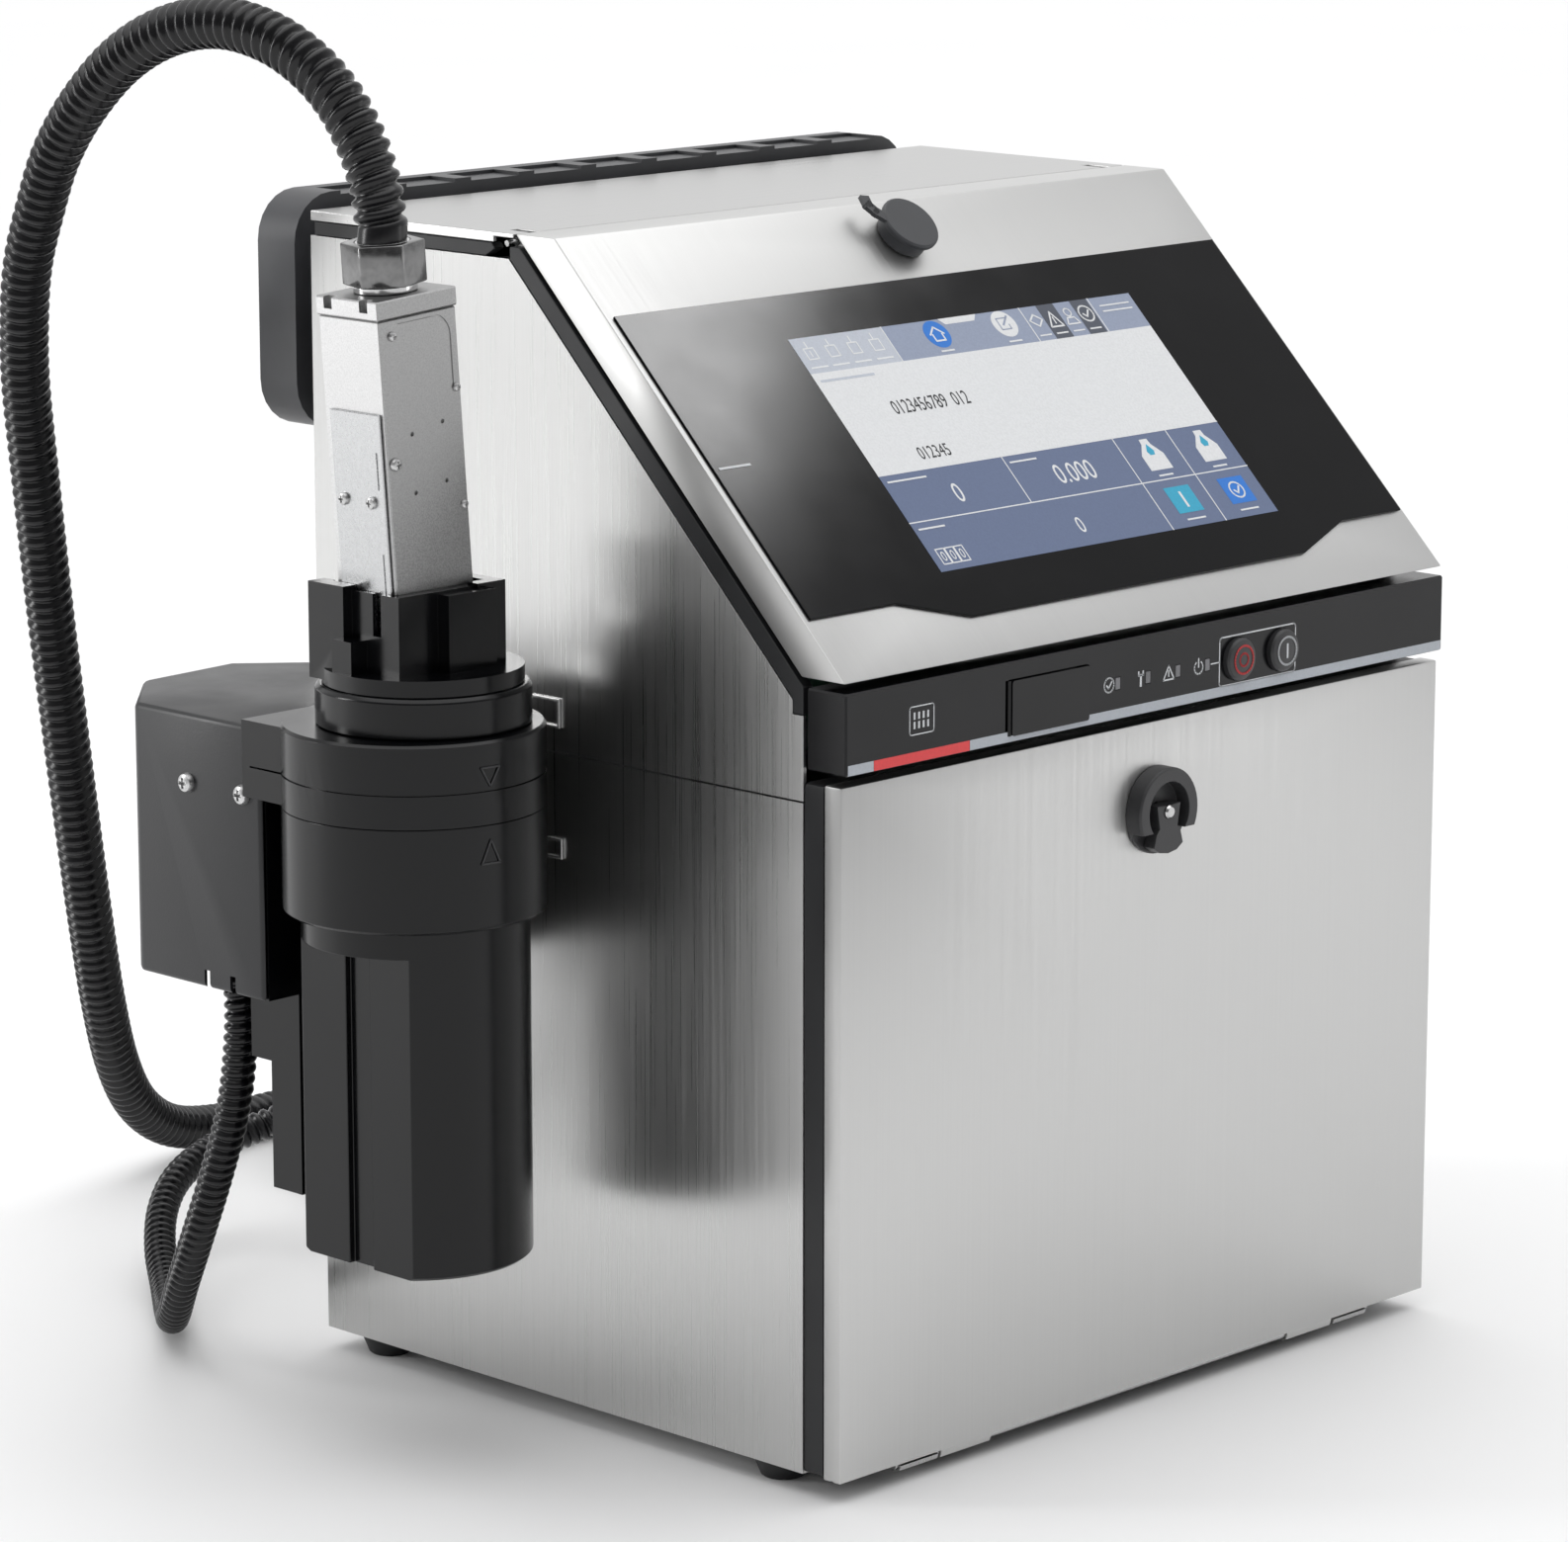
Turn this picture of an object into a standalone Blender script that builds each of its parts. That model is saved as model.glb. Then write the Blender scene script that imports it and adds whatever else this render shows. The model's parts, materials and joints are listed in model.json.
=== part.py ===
"""Date code inkjet printer: a stainless cabinet with a touch console, a print head parked in its
cleaning station, and the umbilical hose that joins the head to the cabinet.

All sizes below are in millimetres and are scaled by MM when a solid is built. The working frame has
X to the right, Y to the back and Z up, with zero at the left panel, the door's face and the cabinet's
floor plate. At the end everything is moved so that the origin is the middle of the footprint, on the
surface that the feet stand on.
"""

import math

import bmesh
import bpy
from mathutils import Matrix, Vector

MM = 0.001
GAP = 0.3

# Cabinet
WIDTH = 400.0
SIDE_DEPTH = 305.0
SHEET = 2.0
LOWER_H = 293.5
PANEL_SEAM = 0.8
TOP_Z = 518.1
FOOT_H = 9.5
FOOT_R = 12.5
FOOT_INSET_X = 15.0
FOOT_INSET_Y = 26.0

# Door and its gasket
DOOR_H = 303.0
DOOR_T = 10.0
DOOR_GAP = 0.8
GASKET_T = 10.9
GASKET_W = 18.0
HINGE_Y = 5.0
HINGE_Z = -1.5
HINGE_R = 2.0

# Quarter-turn latch
LATCH_Z = 263.5
LATCH_R = 19.7
LATCH_INNER_R = 13.4
LATCH_PROUD = 9.0
LATCH_PIN_R = 3.0
CAM_LENGTH = 27.0
CAM_W = 14.0

# Control band
BAND_FRONT = -2.6
BAND_Z0 = 308.0
BAND_H = 35.0
BAND_WALL = 2.6
PORT_X = 99.0
PORT_W = 54.0
PORT_Z = 310.4
PORT_H = 25.0
BUTTON_R = 9.6
BUTTON_CLEAR = 0.3
BUTTON_Z = 324.0
STOP_X = 252.4
ON_X = 282.6
LAMP_X = 171.5
LAMP_PITCH = 20.1

# Console lid, a shallow tray on a 45 degree slope
LID_FRONT = -1.7
LID_Z0 = 347.1
LID_TRAY = 17.5
GLASS_T = 1.2
GLASS_TOP = 197.0
GLASS_SIDE_LOW = 33.0
GLASS_MID_LOW = 20.0
SCREEN_X = 91.5
SCREEN_W = 225.5
SCREEN_UP = 44.0
SCREEN_H = 129.0
DISPLAY_BEZEL = 5.0
DISPLAY_T = 24.0
HINGE_ROD_R = 1.5
ARM_X = 10.0
ARM_T = 5.0
ARM_CLEAR = 0.6
CAP_X = 200.0
CAP_UP = 221.0
CAP_R = 14.6
CAP_H = 10.5

# Rear bumper
BUMPER_Z0 = 417.0
BUMPER_H = 107.0
BUMPER_R = 22.0
BUMPER_RIM = 13.0
BUMPER_T = 25.0
BUMPER_STANDOFF = 11.0

# Cleaning station, on the left side
STATION_X = -86.0
STATION_Y = 168.5
RING_R = 56.5
CUP_R = 49.0
SEAT_R = 46.0
SEAT_OFFSET = 3.3
CUP_Z0 = 88.0
RING_Z0 = 240.0
COLLAR_Z0 = 285.5
SEAT_Z0 = 321.3
SOCKET_Z0 = 338.8
SOCKET_TOP = 382.0
CUP_FLAT = 35.0
BOX_X = -122.0
BOX_Z0 = 194.0
BOX_TOP = 314.5
BOX_SHEET = 1.5

# Print head, leaning out of its socket
HEAD_LEAN = math.radians(4.2)
HEAD_X = 43.5
HEAD_Y = 37.0
HEAD_BASE_Z = 340.0
HEAD_LOW = -8.0
HEAD_COVER_TOP = 157.0
HEAD_CAP_T = 8.0
NUT_R = 17.8
NUT_H = 18.0
NECK_R = 13.6
SOCKET_CLEAR = 1.4

# Hoses
HOSE_D = 22.5
DRAIN_D = 15.5
COIL_X = 320.0
COIL_Y = 490.0
COIL_MEAN_R = 125.0
GLAND_X = 378.0
GLAND_Z = 120.0
DRAIN_GLAND_X = 140.0
DRAIN_GLAND_Z = 75.0

# Inside
BOTTLE_R = 33.0
BOTTLE_Y = 90.0
BOTTLE_ROOM = 27.0
TANK_REAR_ROOM = 31.0
BOARD_REAR_ROOM = 37.0
SUPPLY_REAR_ROOM = 27.0

# Derived positions
PANEL_Y = DOOR_T + DOOR_GAP + GASKET_T + GAP
REAR_Y = PANEL_Y + SIDE_DEPTH
UPPER_Z0 = LOWER_H + PANEL_SEAM
FLOOR_Z = -FOOT_H
RIDGE_Y = LID_FRONT + (TOP_Z - LID_Z0)
LID_K = LID_Z0 - LID_FRONT
LID_BACK_K = LID_K - LID_TRAY * math.sqrt(2.0)
SEAL_TOP_K = LID_BACK_K - 3.4
SEAL_LOW_K = SEAL_TOP_K - 11.6
LID_BACK_Y = TOP_Z - LID_BACK_K
ROD_Y = LID_BACK_Y + 9.6
ROD_Z = TOP_Z - 5.1
COVER_Y0 = LID_BACK_Y + 1.2
COVER_DROP = 4.5
HOUSE_TOP = TOP_Z - 11.1
BAND_BACK = PANEL_Y - 2.0
HEAD_AXIS = Vector((-math.sin(HEAD_LEAN), 0.0, math.cos(HEAD_LEAN)))


# ---------------------------------------------------------------- helpers

def clear_scene():
    for obj in list(bpy.data.objects):
        bpy.data.objects.remove(obj, do_unlink=True)


def collection(name, hidden=False):
    made = bpy.data.collections.new(name)
    bpy.context.scene.collection.children.link(made)
    made.hide_render = hidden
    return made


def material(name, colour, metallic, roughness):
    made = bpy.data.materials.new(name)
    made.use_nodes = True
    shader = made.node_tree.nodes["Principled BSDF"]
    shader.inputs["Base Color"].default_value = (*colour, 1.0)
    shader.inputs["Metallic"].default_value = metallic
    shader.inputs["Roughness"].default_value = roughness
    return made


def add_object(name, data, finish):
    made = bpy.data.objects.new(name, data)
    PARTS.objects.link(made)
    if not data.materials:
        data.materials.append(finish)
    return made


def mesh_of(obj):
    """The mesh of a curve object, with its caps sewn on. The curve is removed."""
    graph = bpy.context.evaluated_depsgraph_get()
    mesh = bpy.data.meshes.new_from_object(obj.evaluated_get(graph))
    bpy.data.objects.remove(obj, do_unlink=True)
    shape = bmesh.new()
    shape.from_mesh(mesh)
    bmesh.ops.remove_doubles(shape, verts=shape.verts, dist=0.000005)
    bmesh.ops.recalc_face_normals(shape, faces=shape.faces)
    shape.to_mesh(mesh)
    shape.free()
    return mesh


def prism(name, outline, axis, low, high, finish):
    """The outline is in (y, z) for axis x, (x, z) for axis y and (x, y) for axis z."""
    curve = bpy.data.curves.new(name, "CURVE")
    curve.dimensions = "2D"
    curve.fill_mode = "BOTH"
    curve.extrude = abs(high - low) / 2 * MM
    spline = curve.splines.new("POLY")
    spline.points.add(len(outline) - 1)
    spline.use_cyclic_u = True
    for knot, (a, b) in zip(spline.points, outline):
        knot.co = (a * MM, b * MM, 0.0, 1.0)
    mesh = mesh_of(add_object(name, curve, finish))
    middle = (low + high) / 2 * MM
    turns = {"x": Matrix(((0, 0, 1, middle), (1, 0, 0, 0), (0, 1, 0, 0), (0, 0, 0, 1))),
             "y": Matrix(((1, 0, 0, 0), (0, 0, -1, middle), (0, 1, 0, 0), (0, 0, 0, 1))),
             "z": Matrix.Translation((0, 0, middle))}
    mesh.transform(turns[axis])
    return add_object(name, mesh, finish)


def slab(name, low, high, finish):
    low, high = Vector(low) * MM, Vector(high) * MM
    shape = bmesh.new()
    size = Matrix.Diagonal((*(high - low), 1.0))
    bmesh.ops.create_cube(shape, size=1.0, matrix=Matrix.Translation((low + high) / 2) @ size)
    mesh = bpy.data.meshes.new(name)
    shape.to_mesh(mesh)
    shape.free()
    return add_object(name, mesh, finish)


def rounded(x0, y0, x1, y1, radius, steps=6):
    """A rectangle with round corners, as a closed outline."""
    points = []
    corners = ((x1 - radius, y1 - radius, 0), (x0 + radius, y1 - radius, 90),
               (x0 + radius, y0 + radius, 180), (x1 - radius, y0 + radius, 270))
    for cx, cy, start in corners:
        for i in range(steps + 1):
            turn = math.radians(start + 90.0 * i / steps)
            points.append((cx + radius * math.cos(turn), cy + radius * math.sin(turn)))
    return points


def circle(cx, cy, radius, steps=40):
    turns = [2.0 * math.pi * i / steps for i in range(steps)]
    return [(cx + radius * math.cos(t), cy + radius * math.sin(t)) for t in turns]


def turned(name, profile, finish, steps=40, closed=False):
    """Turns (radius, height) points about Z. The profile runs down the outer side."""
    mesh = bpy.data.meshes.new(name)
    count = len(profile)
    edges = [(i, i + 1) for i in range(count - 1)]
    if closed:
        edges.append((count - 1, 0))
    mesh.from_pydata([(r * MM, 0.0, h * MM) for r, h in profile], edges, [])
    made = add_object(name, mesh, finish)
    screw = made.modifiers.new("Turn", "SCREW")
    screw.axis = "Z"
    screw.steps = steps
    screw.render_steps = steps
    screw.use_merge_vertices = True
    screw.merge_threshold = 0.00001
    return made


def move_to(obj, x, y, z, direction="z"):
    """Stands a turned or local shape at a point, with its own Z along the direction."""
    turns = {"z": Matrix.Identity(4), "y": Matrix.Rotation(math.radians(-90), 4, "X"),
             "-y": Matrix.Rotation(math.radians(90), 4, "X"),
             "x": Matrix.Rotation(math.radians(90), 4, "Y"),
             "slope": Matrix.Rotation(math.radians(45), 4, "X"),
             "head": Matrix.Rotation(-HEAD_LEAN, 4, "Y")}
    obj.matrix_world = Matrix.Translation(Vector((x, y, z)) * MM) @ turns[direction]
    return obj


def boolean(target, other, operation):
    step = target.modifiers.new(operation.title(), "BOOLEAN")
    step.operation = operation
    step.solver = "EXACT"
    step.object = other
    other.hide_render = True
    other.display_type = "WIRE"
    PARTS.objects.unlink(other)
    CUTTERS.objects.link(other)
    return target


def cut(target, *others):
    for other in others:
        boolean(target, other, "DIFFERENCE")
    return target


def join(target, *others):
    for other in others:
        boolean(target, other, "UNION")
    return target


def soften(obj, width, segments=2):
    step = obj.modifiers.new("Soft edges", "BEVEL")
    step.width = width * MM
    step.segments = segments
    step.limit_method = "ANGLE"
    step.angle_limit = math.radians(40)
    return obj


def set_origin(obj, point):
    """Puts a moving piece's own origin on its joint."""
    shift = Matrix.Translation(obj.matrix_world.inverted() @ (Vector(point) * MM))
    obj.data.transform(shift.inverted())
    obj.matrix_world = obj.matrix_world @ shift
    return obj


def smooth_path(points, spacing):
    """Evenly spaced points on a smooth curve through the route's own points."""
    knots = [Vector(p) for p in points]
    knots = [2 * knots[0] - knots[1]] + knots + [2 * knots[-1] - knots[-2]]
    fine = []
    for i in range(1, len(knots) - 2):
        a, b, c, d = knots[i - 1:i + 3]
        for j in range(24):
            t = j / 24.0
            fine.append(0.5 * (2 * b + (c - a) * t + (2 * a - 5 * b + 4 * c - d) * t * t
                               + (3 * b - a - 3 * c + d) * t ** 3))
    fine.append(knots[-2])
    total = sum((q - p).length for p, q in zip(fine, fine[1:]))
    count = max(2, round(total / spacing))
    made, travelled, index = [fine[0]], 0.0, 0
    for k in range(1, count):
        wanted = total * k / count
        while travelled + (fine[index + 1] - fine[index]).length < wanted:
            travelled += (fine[index + 1] - fine[index]).length
            index += 1
        step = fine[index + 1] - fine[index]
        made.append(fine[index] + step * ((wanted - travelled) / step.length))
    made.append(fine[-1])
    return made


def tube_curve(name, points, radius):
    curve = bpy.data.curves.new(name, "CURVE")
    curve.dimensions = "3D"
    curve.bevel_depth = radius * MM
    curve.bevel_resolution = 3
    curve.use_fill_caps = True
    spline = curve.splines.new("POLY")
    spline.points.add(len(points) - 1)
    for knot, point in zip(spline.points, points):
        knot.co = (*(point * MM), 1.0)
    return curve


def tube(name, points, radius, finish):
    return add_object(name, tube_curve(name, points, radius), finish)


def tube_mesh(name, points, radius):
    """A tube as a mesh, for use as a cutter."""
    return add_object(name, mesh_of(tube(name + "_curve", points, radius, HOSE)), HOSE)


def slope_matrix():
    """Local X across, Y up the slope and Z out of it, from the lid's lower front edge."""
    return Matrix.Translation(Vector((0, LID_FRONT, LID_Z0)) * MM) @ Matrix.Rotation(math.radians(45), 4, "X")


def on_slope(obj):
    obj.data.transform(slope_matrix())
    return obj


def slope_point(x, up, out):
    return slope_matrix() @ (Vector((x, up, out)) * MM) / MM


def head_matrix():
    return (Matrix.Translation(Vector((STATION_X, STATION_Y, HEAD_BASE_Z)) * MM)
            @ Matrix.Rotation(-HEAD_LEAN, 4, "Y"))


def head_point(x, y, z):
    return head_matrix() @ (Vector((x, y, z)) * MM) / MM


def on_head(obj):
    obj.matrix_world = head_matrix()
    return obj


# ---------------------------------------------------------------- cabinet

def lower_cabinet():
    body = slab("lower_cabinet", (0, PANEL_Y, 0), (WIDTH, REAR_Y, LOWER_H), STEEL)
    inside = slab("cut_lower", (SHEET, PANEL_Y - 5, SHEET),
                  (WIDTH - SHEET, REAR_Y - SHEET, LOWER_H + 5), STEEL)
    rail = slab("add_rail", (SHEET / 2, PANEL_Y + 0.2, LOWER_H - 10.5),
                (WIDTH - SHEET / 2, PANEL_Y + 2.2, LOWER_H - 0.5), STEEL)
    cut(body, inside)
    join(body, rail)
    for x in (40.0, WIDTH - 64.0):
        leaf = prism("add_hinge_leaf", [(PANEL_Y + 4, 1.0), (PANEL_Y + 4, HINGE_Z - 1.0),
                                        (HINGE_Y, HINGE_Z - 3.2), (HINGE_Y - 2.3, HINGE_Z - 2.3),
                                        (HINGE_Y - 3.2, HINGE_Z),
                                        (HINGE_Y, HINGE_Z + 0.9), (DOOR_T + 1.0, HINGE_Z + 0.9),
                                        (PANEL_Y + 1.0, 1.0)], "x", x, x + 24.0, STEEL)
        join(body, leaf)
    bore = turned("cut_hinge", [(0, WIDTH), (HINGE_R + 0.25, WIDTH), (HINGE_R + 0.25, 0), (0, 0)], STEEL, 12)
    move_to(bore, 0, HINGE_Y, HINGE_Z, "x")
    cut(body, bore)
    for x, z, r in ((GLAND_X, GLAND_Z, 14.0), (DRAIN_GLAND_X, DRAIN_GLAND_Z, 10.0)):
        hole = prism("cut_gland", circle(x, z, r, 24), "y", REAR_Y - 6, REAR_Y + 6, STEEL)
        cut(body, hole)
    return body


def upper_housing():
    edge = SEAL_LOW_K - GAP * math.sqrt(2.0)
    side = [(PANEL_Y, UPPER_Z0), (PANEL_Y, UPPER_Z0 + 36.4), (PANEL_Y + 6.3, UPPER_Z0 + 36.4),
            (PANEL_Y + 6.3, PANEL_Y + 6.3 + edge), (HOUSE_TOP - edge, HOUSE_TOP), (REAR_Y, HOUSE_TOP),
            (REAR_Y, UPPER_Z0)]
    body = prism("upper_housing", side, "x", 0, WIDTH, STEEL)
    inside = slab("cut_upper", (SHEET, PANEL_Y - 10, UPPER_Z0 - 5), (WIDTH - SHEET, REAR_Y - SHEET, TOP_Z),
                  STEEL)
    window = slab("cut_vent", (24, REAR_Y - 6, BUMPER_Z0 + 22), (WIDTH - 24, REAR_Y + 6, HOUSE_TOP - 4),
                  STEEL)
    cut(body, inside, window)
    beam = slab("add_beam", (SHEET / 2, ROD_Y + 3.5, HOUSE_TOP - 12),
                (WIDTH - SHEET / 2, ROD_Y + 9.5, HOUSE_TOP - 1), STEEL)
    join(body, beam)
    for x in (22.0, WIDTH - 27.0):
        lug = slab("add_lug", (x, ROD_Y - 3.0, HOUSE_TOP - 8), (x + 5, ROD_Y + 8.0, ROD_Z + 2.7), STEEL)
        join(body, lug)
    bore = turned("cut_rod", [(0, WIDTH + 5), (HINGE_ROD_R + 0.25, WIDTH + 5), (HINGE_ROD_R + 0.25, -5),
                              (0, -5)],
                  STEEL, 12)
    move_to(bore, 0, ROD_Y, ROD_Z, "x")
    return cut(body, bore)


def top_cover():
    body = slab("top_cover", (0, COVER_Y0, TOP_Z - COVER_DROP), (WIDTH, REAR_Y, TOP_Z), STEEL)
    inside = slab("cut_cover", (SHEET, COVER_Y0 - 5, TOP_Z - COVER_DROP - 5),
                  (WIDTH - SHEET, REAR_Y - SHEET, TOP_Z - SHEET), STEEL)
    corner = slab("cut_cover_end", (-5, COVER_Y0 - 5, TOP_Z - COVER_DROP - 5),
                  (WIDTH + 5, ROD_Y + 4, TOP_Z - SHEET), STEEL)
    cut(body, inside, corner)
    for x in (ARM_X, WIDTH - ARM_X - ARM_T):
        cut(body, slab("cut_cover_arm", (x - ARM_CLEAR, COVER_Y0 - 1, TOP_Z - 20),
                       (x + ARM_T + ARM_CLEAR, ROD_Y + 5, TOP_Z + 5), STEEL))
    return body


def seals():
    low = HOUSE_TOP + GAP
    high = TOP_Z - COVER_DROP - GAP
    start = ROD_Y + 9.6
    tab = UPPER_Z0 + 36.4 + GAP
    strip = [(PANEL_Y + 0.3, tab), (PANEL_Y + 6.3, tab), (PANEL_Y + 6.3, PANEL_Y + 6.3 + SEAL_LOW_K),
             (HOUSE_TOP - SEAL_LOW_K, HOUSE_TOP), (HOUSE_TOP - SEAL_LOW_K, high - 1.0),
             (high - 1.0 - SEAL_TOP_K, high - 1.0), (PANEL_Y + 0.3, PANEL_Y + 0.3 + SEAL_TOP_K)]
    for side, x0 in (("left", 0.2), ("right", WIDTH - 6.2)):
        top = prism("top_seal_" + side, [(start, low), (REAR_Y - 2.5, low), (REAR_Y - 2.5, high),
                                         (start - 4, high),
                                         (start - 6, high - 2.5)], "x", x0, x0 + 6.0, SOFT)
        cut(top, slab("cut_top_seal", (SHEET + GAP, start + 6, low - 2),
                      (WIDTH - SHEET - GAP, REAR_Y - 6, high - 2.5), SOFT))
        prism("lid_seal_" + side, strip, "x", x0, x0 + 6.0, SOFT)


def mid_shelf():
    shelf = slab("mid_shelf", (SHEET + GAP, PANEL_Y + 3, LOWER_H - 8.0),
                 (WIDTH - SHEET - GAP, REAR_Y - SHEET - GAP, LOWER_H - 6.0), PLATE)
    return shelf


def door_gasket():
    outer = prism("door_gasket", rounded(0.6, 0.6, WIDTH - 0.6, DOOR_H - 0.6, 2.0, 2), "y",
                  DOOR_T + DOOR_GAP, DOOR_T + DOOR_GAP + GASKET_T, SOFT)
    inner = prism("cut_gasket", rounded(GASKET_W, GASKET_W, WIDTH - GASKET_W, DOOR_H - GASKET_W, 6.0, 3), "y",
                  DOOR_T - 5, PANEL_Y + 5, SOFT)
    cut(outer, inner)
    for x in (39.0, WIDTH - 65.0):
        leaf = slab("cut_gasket_leaf", (x, DOOR_T, -2), (x + 26, PANEL_Y + 2, 2.2), SOFT)
        cut(outer, leaf)
    band = slab("cut_gasket_rail", (-1, PANEL_Y - 0.5, LOWER_H - 12), (WIDTH + 1, PANEL_Y + 3, DOOR_H), SOFT)
    return cut(outer, band)


def feet():
    for i, (right, back) in enumerate(((0, 0), (1, 0), (0, 1), (1, 1))):
        x = WIDTH - FOOT_INSET_X if right else FOOT_INSET_X
        y = REAR_Y - FOOT_INSET_Y if back else PANEL_Y + FOOT_INSET_Y
        foot = turned("foot_%d" % (i + 1),
                      [(0, -GAP), (FOOT_R, -GAP), (FOOT_R, -2.5), (FOOT_R - 2.5, FLOOR_Z + 0.8),
                                            (FOOT_R - 3.5, FLOOR_Z), (0, FLOOR_Z)], SOFT, 28)
        move_to(foot, x, y, 0)


def rear_bumper():
    y0 = REAR_Y + BUMPER_STANDOFF
    z1 = BUMPER_Z0 + BUMPER_H
    ring = prism("rear_bumper", rounded(0, BUMPER_Z0, WIDTH, z1, BUMPER_R), "y", y0, y0 + BUMPER_T, BLACK)
    neck = prism("add_neck", rounded(9, BUMPER_Z0 + 6, WIDTH - 9, TOP_Z - 7.0, BUMPER_R - 8), "y",
                 REAR_Y + GAP, y0 + 6, BLACK)
    window = prism("cut_bumper", rounded(BUMPER_RIM + 3, BUMPER_Z0 + BUMPER_RIM + 1, WIDTH - BUMPER_RIM - 3,
                                         z1 - BUMPER_RIM - 8, 10.0, 4), "y", REAR_Y - 5,
                   y0 + BUMPER_T + 5, BLACK)
    join(ring, neck)
    return cut(soften(ring, 1.2, 1), window)


def vent_grille():
    z0 = BUMPER_Z0 + BUMPER_RIM + 1 + GAP
    z1 = BUMPER_Z0 + BUMPER_H - BUMPER_RIM - 8 - GAP
    grille = prism("vent_grille", rounded(BUMPER_RIM + 3 + GAP, z0, WIDTH - BUMPER_RIM - 3 - GAP, z1, 9.5,
                                          4), "y",
                   REAR_Y + GAP, REAR_Y + 3.5, BLACK)
    for i in range(14):
        x = 40.0 + i * 24.0
        cut(grille, slab("cut_vent_slot", (x - 4, REAR_Y - 3, z0 + 8), (x + 4, REAR_Y + 8, z1 - 8), BLACK))
    return grille


FAN_X = 110.0
FAN_Z = 470.0
FAN_R = 30.0


def fan():
    y0 = REAR_Y - SHEET - 25.0
    frame = prism("fan_frame", rounded(FAN_X - 34, FAN_Z - 34, FAN_X + 34, FAN_Z + 34, 4, 2), "y",
                  y0, REAR_Y - SHEET - GAP, BLACK)
    bore = prism("cut_fan", circle(FAN_X, FAN_Z, FAN_R, 32), "y", y0 + 2.5, REAR_Y + 5, BLACK)
    ports = []
    for sign_x in (-1, 1):
        for sign_z in (-1, 1):
            cx, cz = FAN_X + sign_x * 13.5, FAN_Z + sign_z * 13.5
            ports.append(prism("cut_fan_port", rounded(cx - 10, cz - 10, cx + 10, cz + 10, 3, 2), "y",
                               y0 - 5, y0 + 5, BLACK))
    cut(frame, bore, *ports)
    rotor = turned("fan_rotor", [(0, 19), (11, 19), (12, 18), (12, 0), (0, 0)], BLACK, 24)
    for i in range(7):
        blade = slab("add_blade", (-1.0, 10.0, 2.0), (1.0, FAN_R - 1.2, 17.0), BLACK)
        blade.matrix_world = Matrix.Rotation(math.radians(i * 360 / 7), 4,
                                             "Z") @ Matrix.Rotation(math.radians(38), 4, "Y")
        blade.data.transform(Matrix.Translation(Vector((0, 0, -9.5)) * MM))
        blade.matrix_world = (Matrix.Translation(Vector((0, 0, 9.5)) * MM) @ blade.matrix_world)
        blade.data.transform(blade.matrix_world)
        blade.matrix_world = Matrix.Identity(4)
        blade.parent = rotor
        join(rotor, blade)
    move_to(rotor, FAN_X, y0 + 2.5 + GAP, FAN_Z, "y")


# ---------------------------------------------------------------- what is inside

def inner_pieces():
    tank_y0, tank_y1 = BOTTLE_Y + BOTTLE_R + BOTTLE_ROOM, REAR_Y - TANK_REAR_ROOM
    tank = slab("ink_tank", (24, tank_y0, SHEET + GAP), (168, tank_y1, 150), TANK)
    soften(tank, 6.0, 3)
    lid = turned("add_tank_cap", [(0, 168), (24, 168), (26, 166), (26, 140), (0, 140)], TANK, 28)
    move_to(lid, 96, (tank_y0 + tank_y1) / 2, 0)
    join(tank, lid)
    bottle = [(0, 148), (13, 148), (13, 128), (10, 126), (10, 120), (BOTTLE_R - 3, 104), (BOTTLE_R, 98),
              (BOTTLE_R, 6), (BOTTLE_R - 3, SHEET + GAP), (0, SHEET + GAP)]
    for name, x, finish in (("ink_bottle", 78.0, TANK), ("makeup_bottle", 156.0, SOLVENT)):
        move_to(turned(name, bottle, finish, 32), x, BOTTLE_Y, 0)
    pump = slab("feed_pump", (214, 160, SHEET + GAP), (290, 246, 60), BLACK)
    soften(pump, 4.0, 2)
    motor = turned("add_motor", [(0, 128), (26, 128), (28, 126), (28, 40), (0, 40)], BLACK, 28)
    move_to(motor, 252, 203, 0)
    join(pump, motor)
    board_y0, board_y1 = 70.0, REAR_Y - BOARD_REAR_ROOM
    board = slab("circuit_board", (30, board_y0, LOWER_H + 8), (196, board_y1, LOWER_H + 9.8), BOARD)
    for x in (40.0, 186.0):
        for y in (board_y0 + 10, board_y1 - 10):
            join(board, slab("add_post", (x - 4, y - 4, LOWER_H - 6 + GAP), (x + 4, y + 4, LOWER_H + 9),
                             BOARD))
    for x0, y0, x1, y1, h in ((60, 110, 100, 150, 4.0), (120, 100, 168, 128, 9.0), (70, 190, 150, 230, 14.0)):
        join(board, slab("add_chip", (x0, y0, LOWER_H + 9), (x1, y1, LOWER_H + 9.8 + h), BOARD))
    supply = slab("power_supply", (232, 150, LOWER_H - 6 + GAP),
                  (372, REAR_Y - SUPPLY_REAR_ROOM, LOWER_H + 46), PLATE)
    soften(supply, 1.5, 1)


# ---------------------------------------------------------------- door, latch and control band

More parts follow.
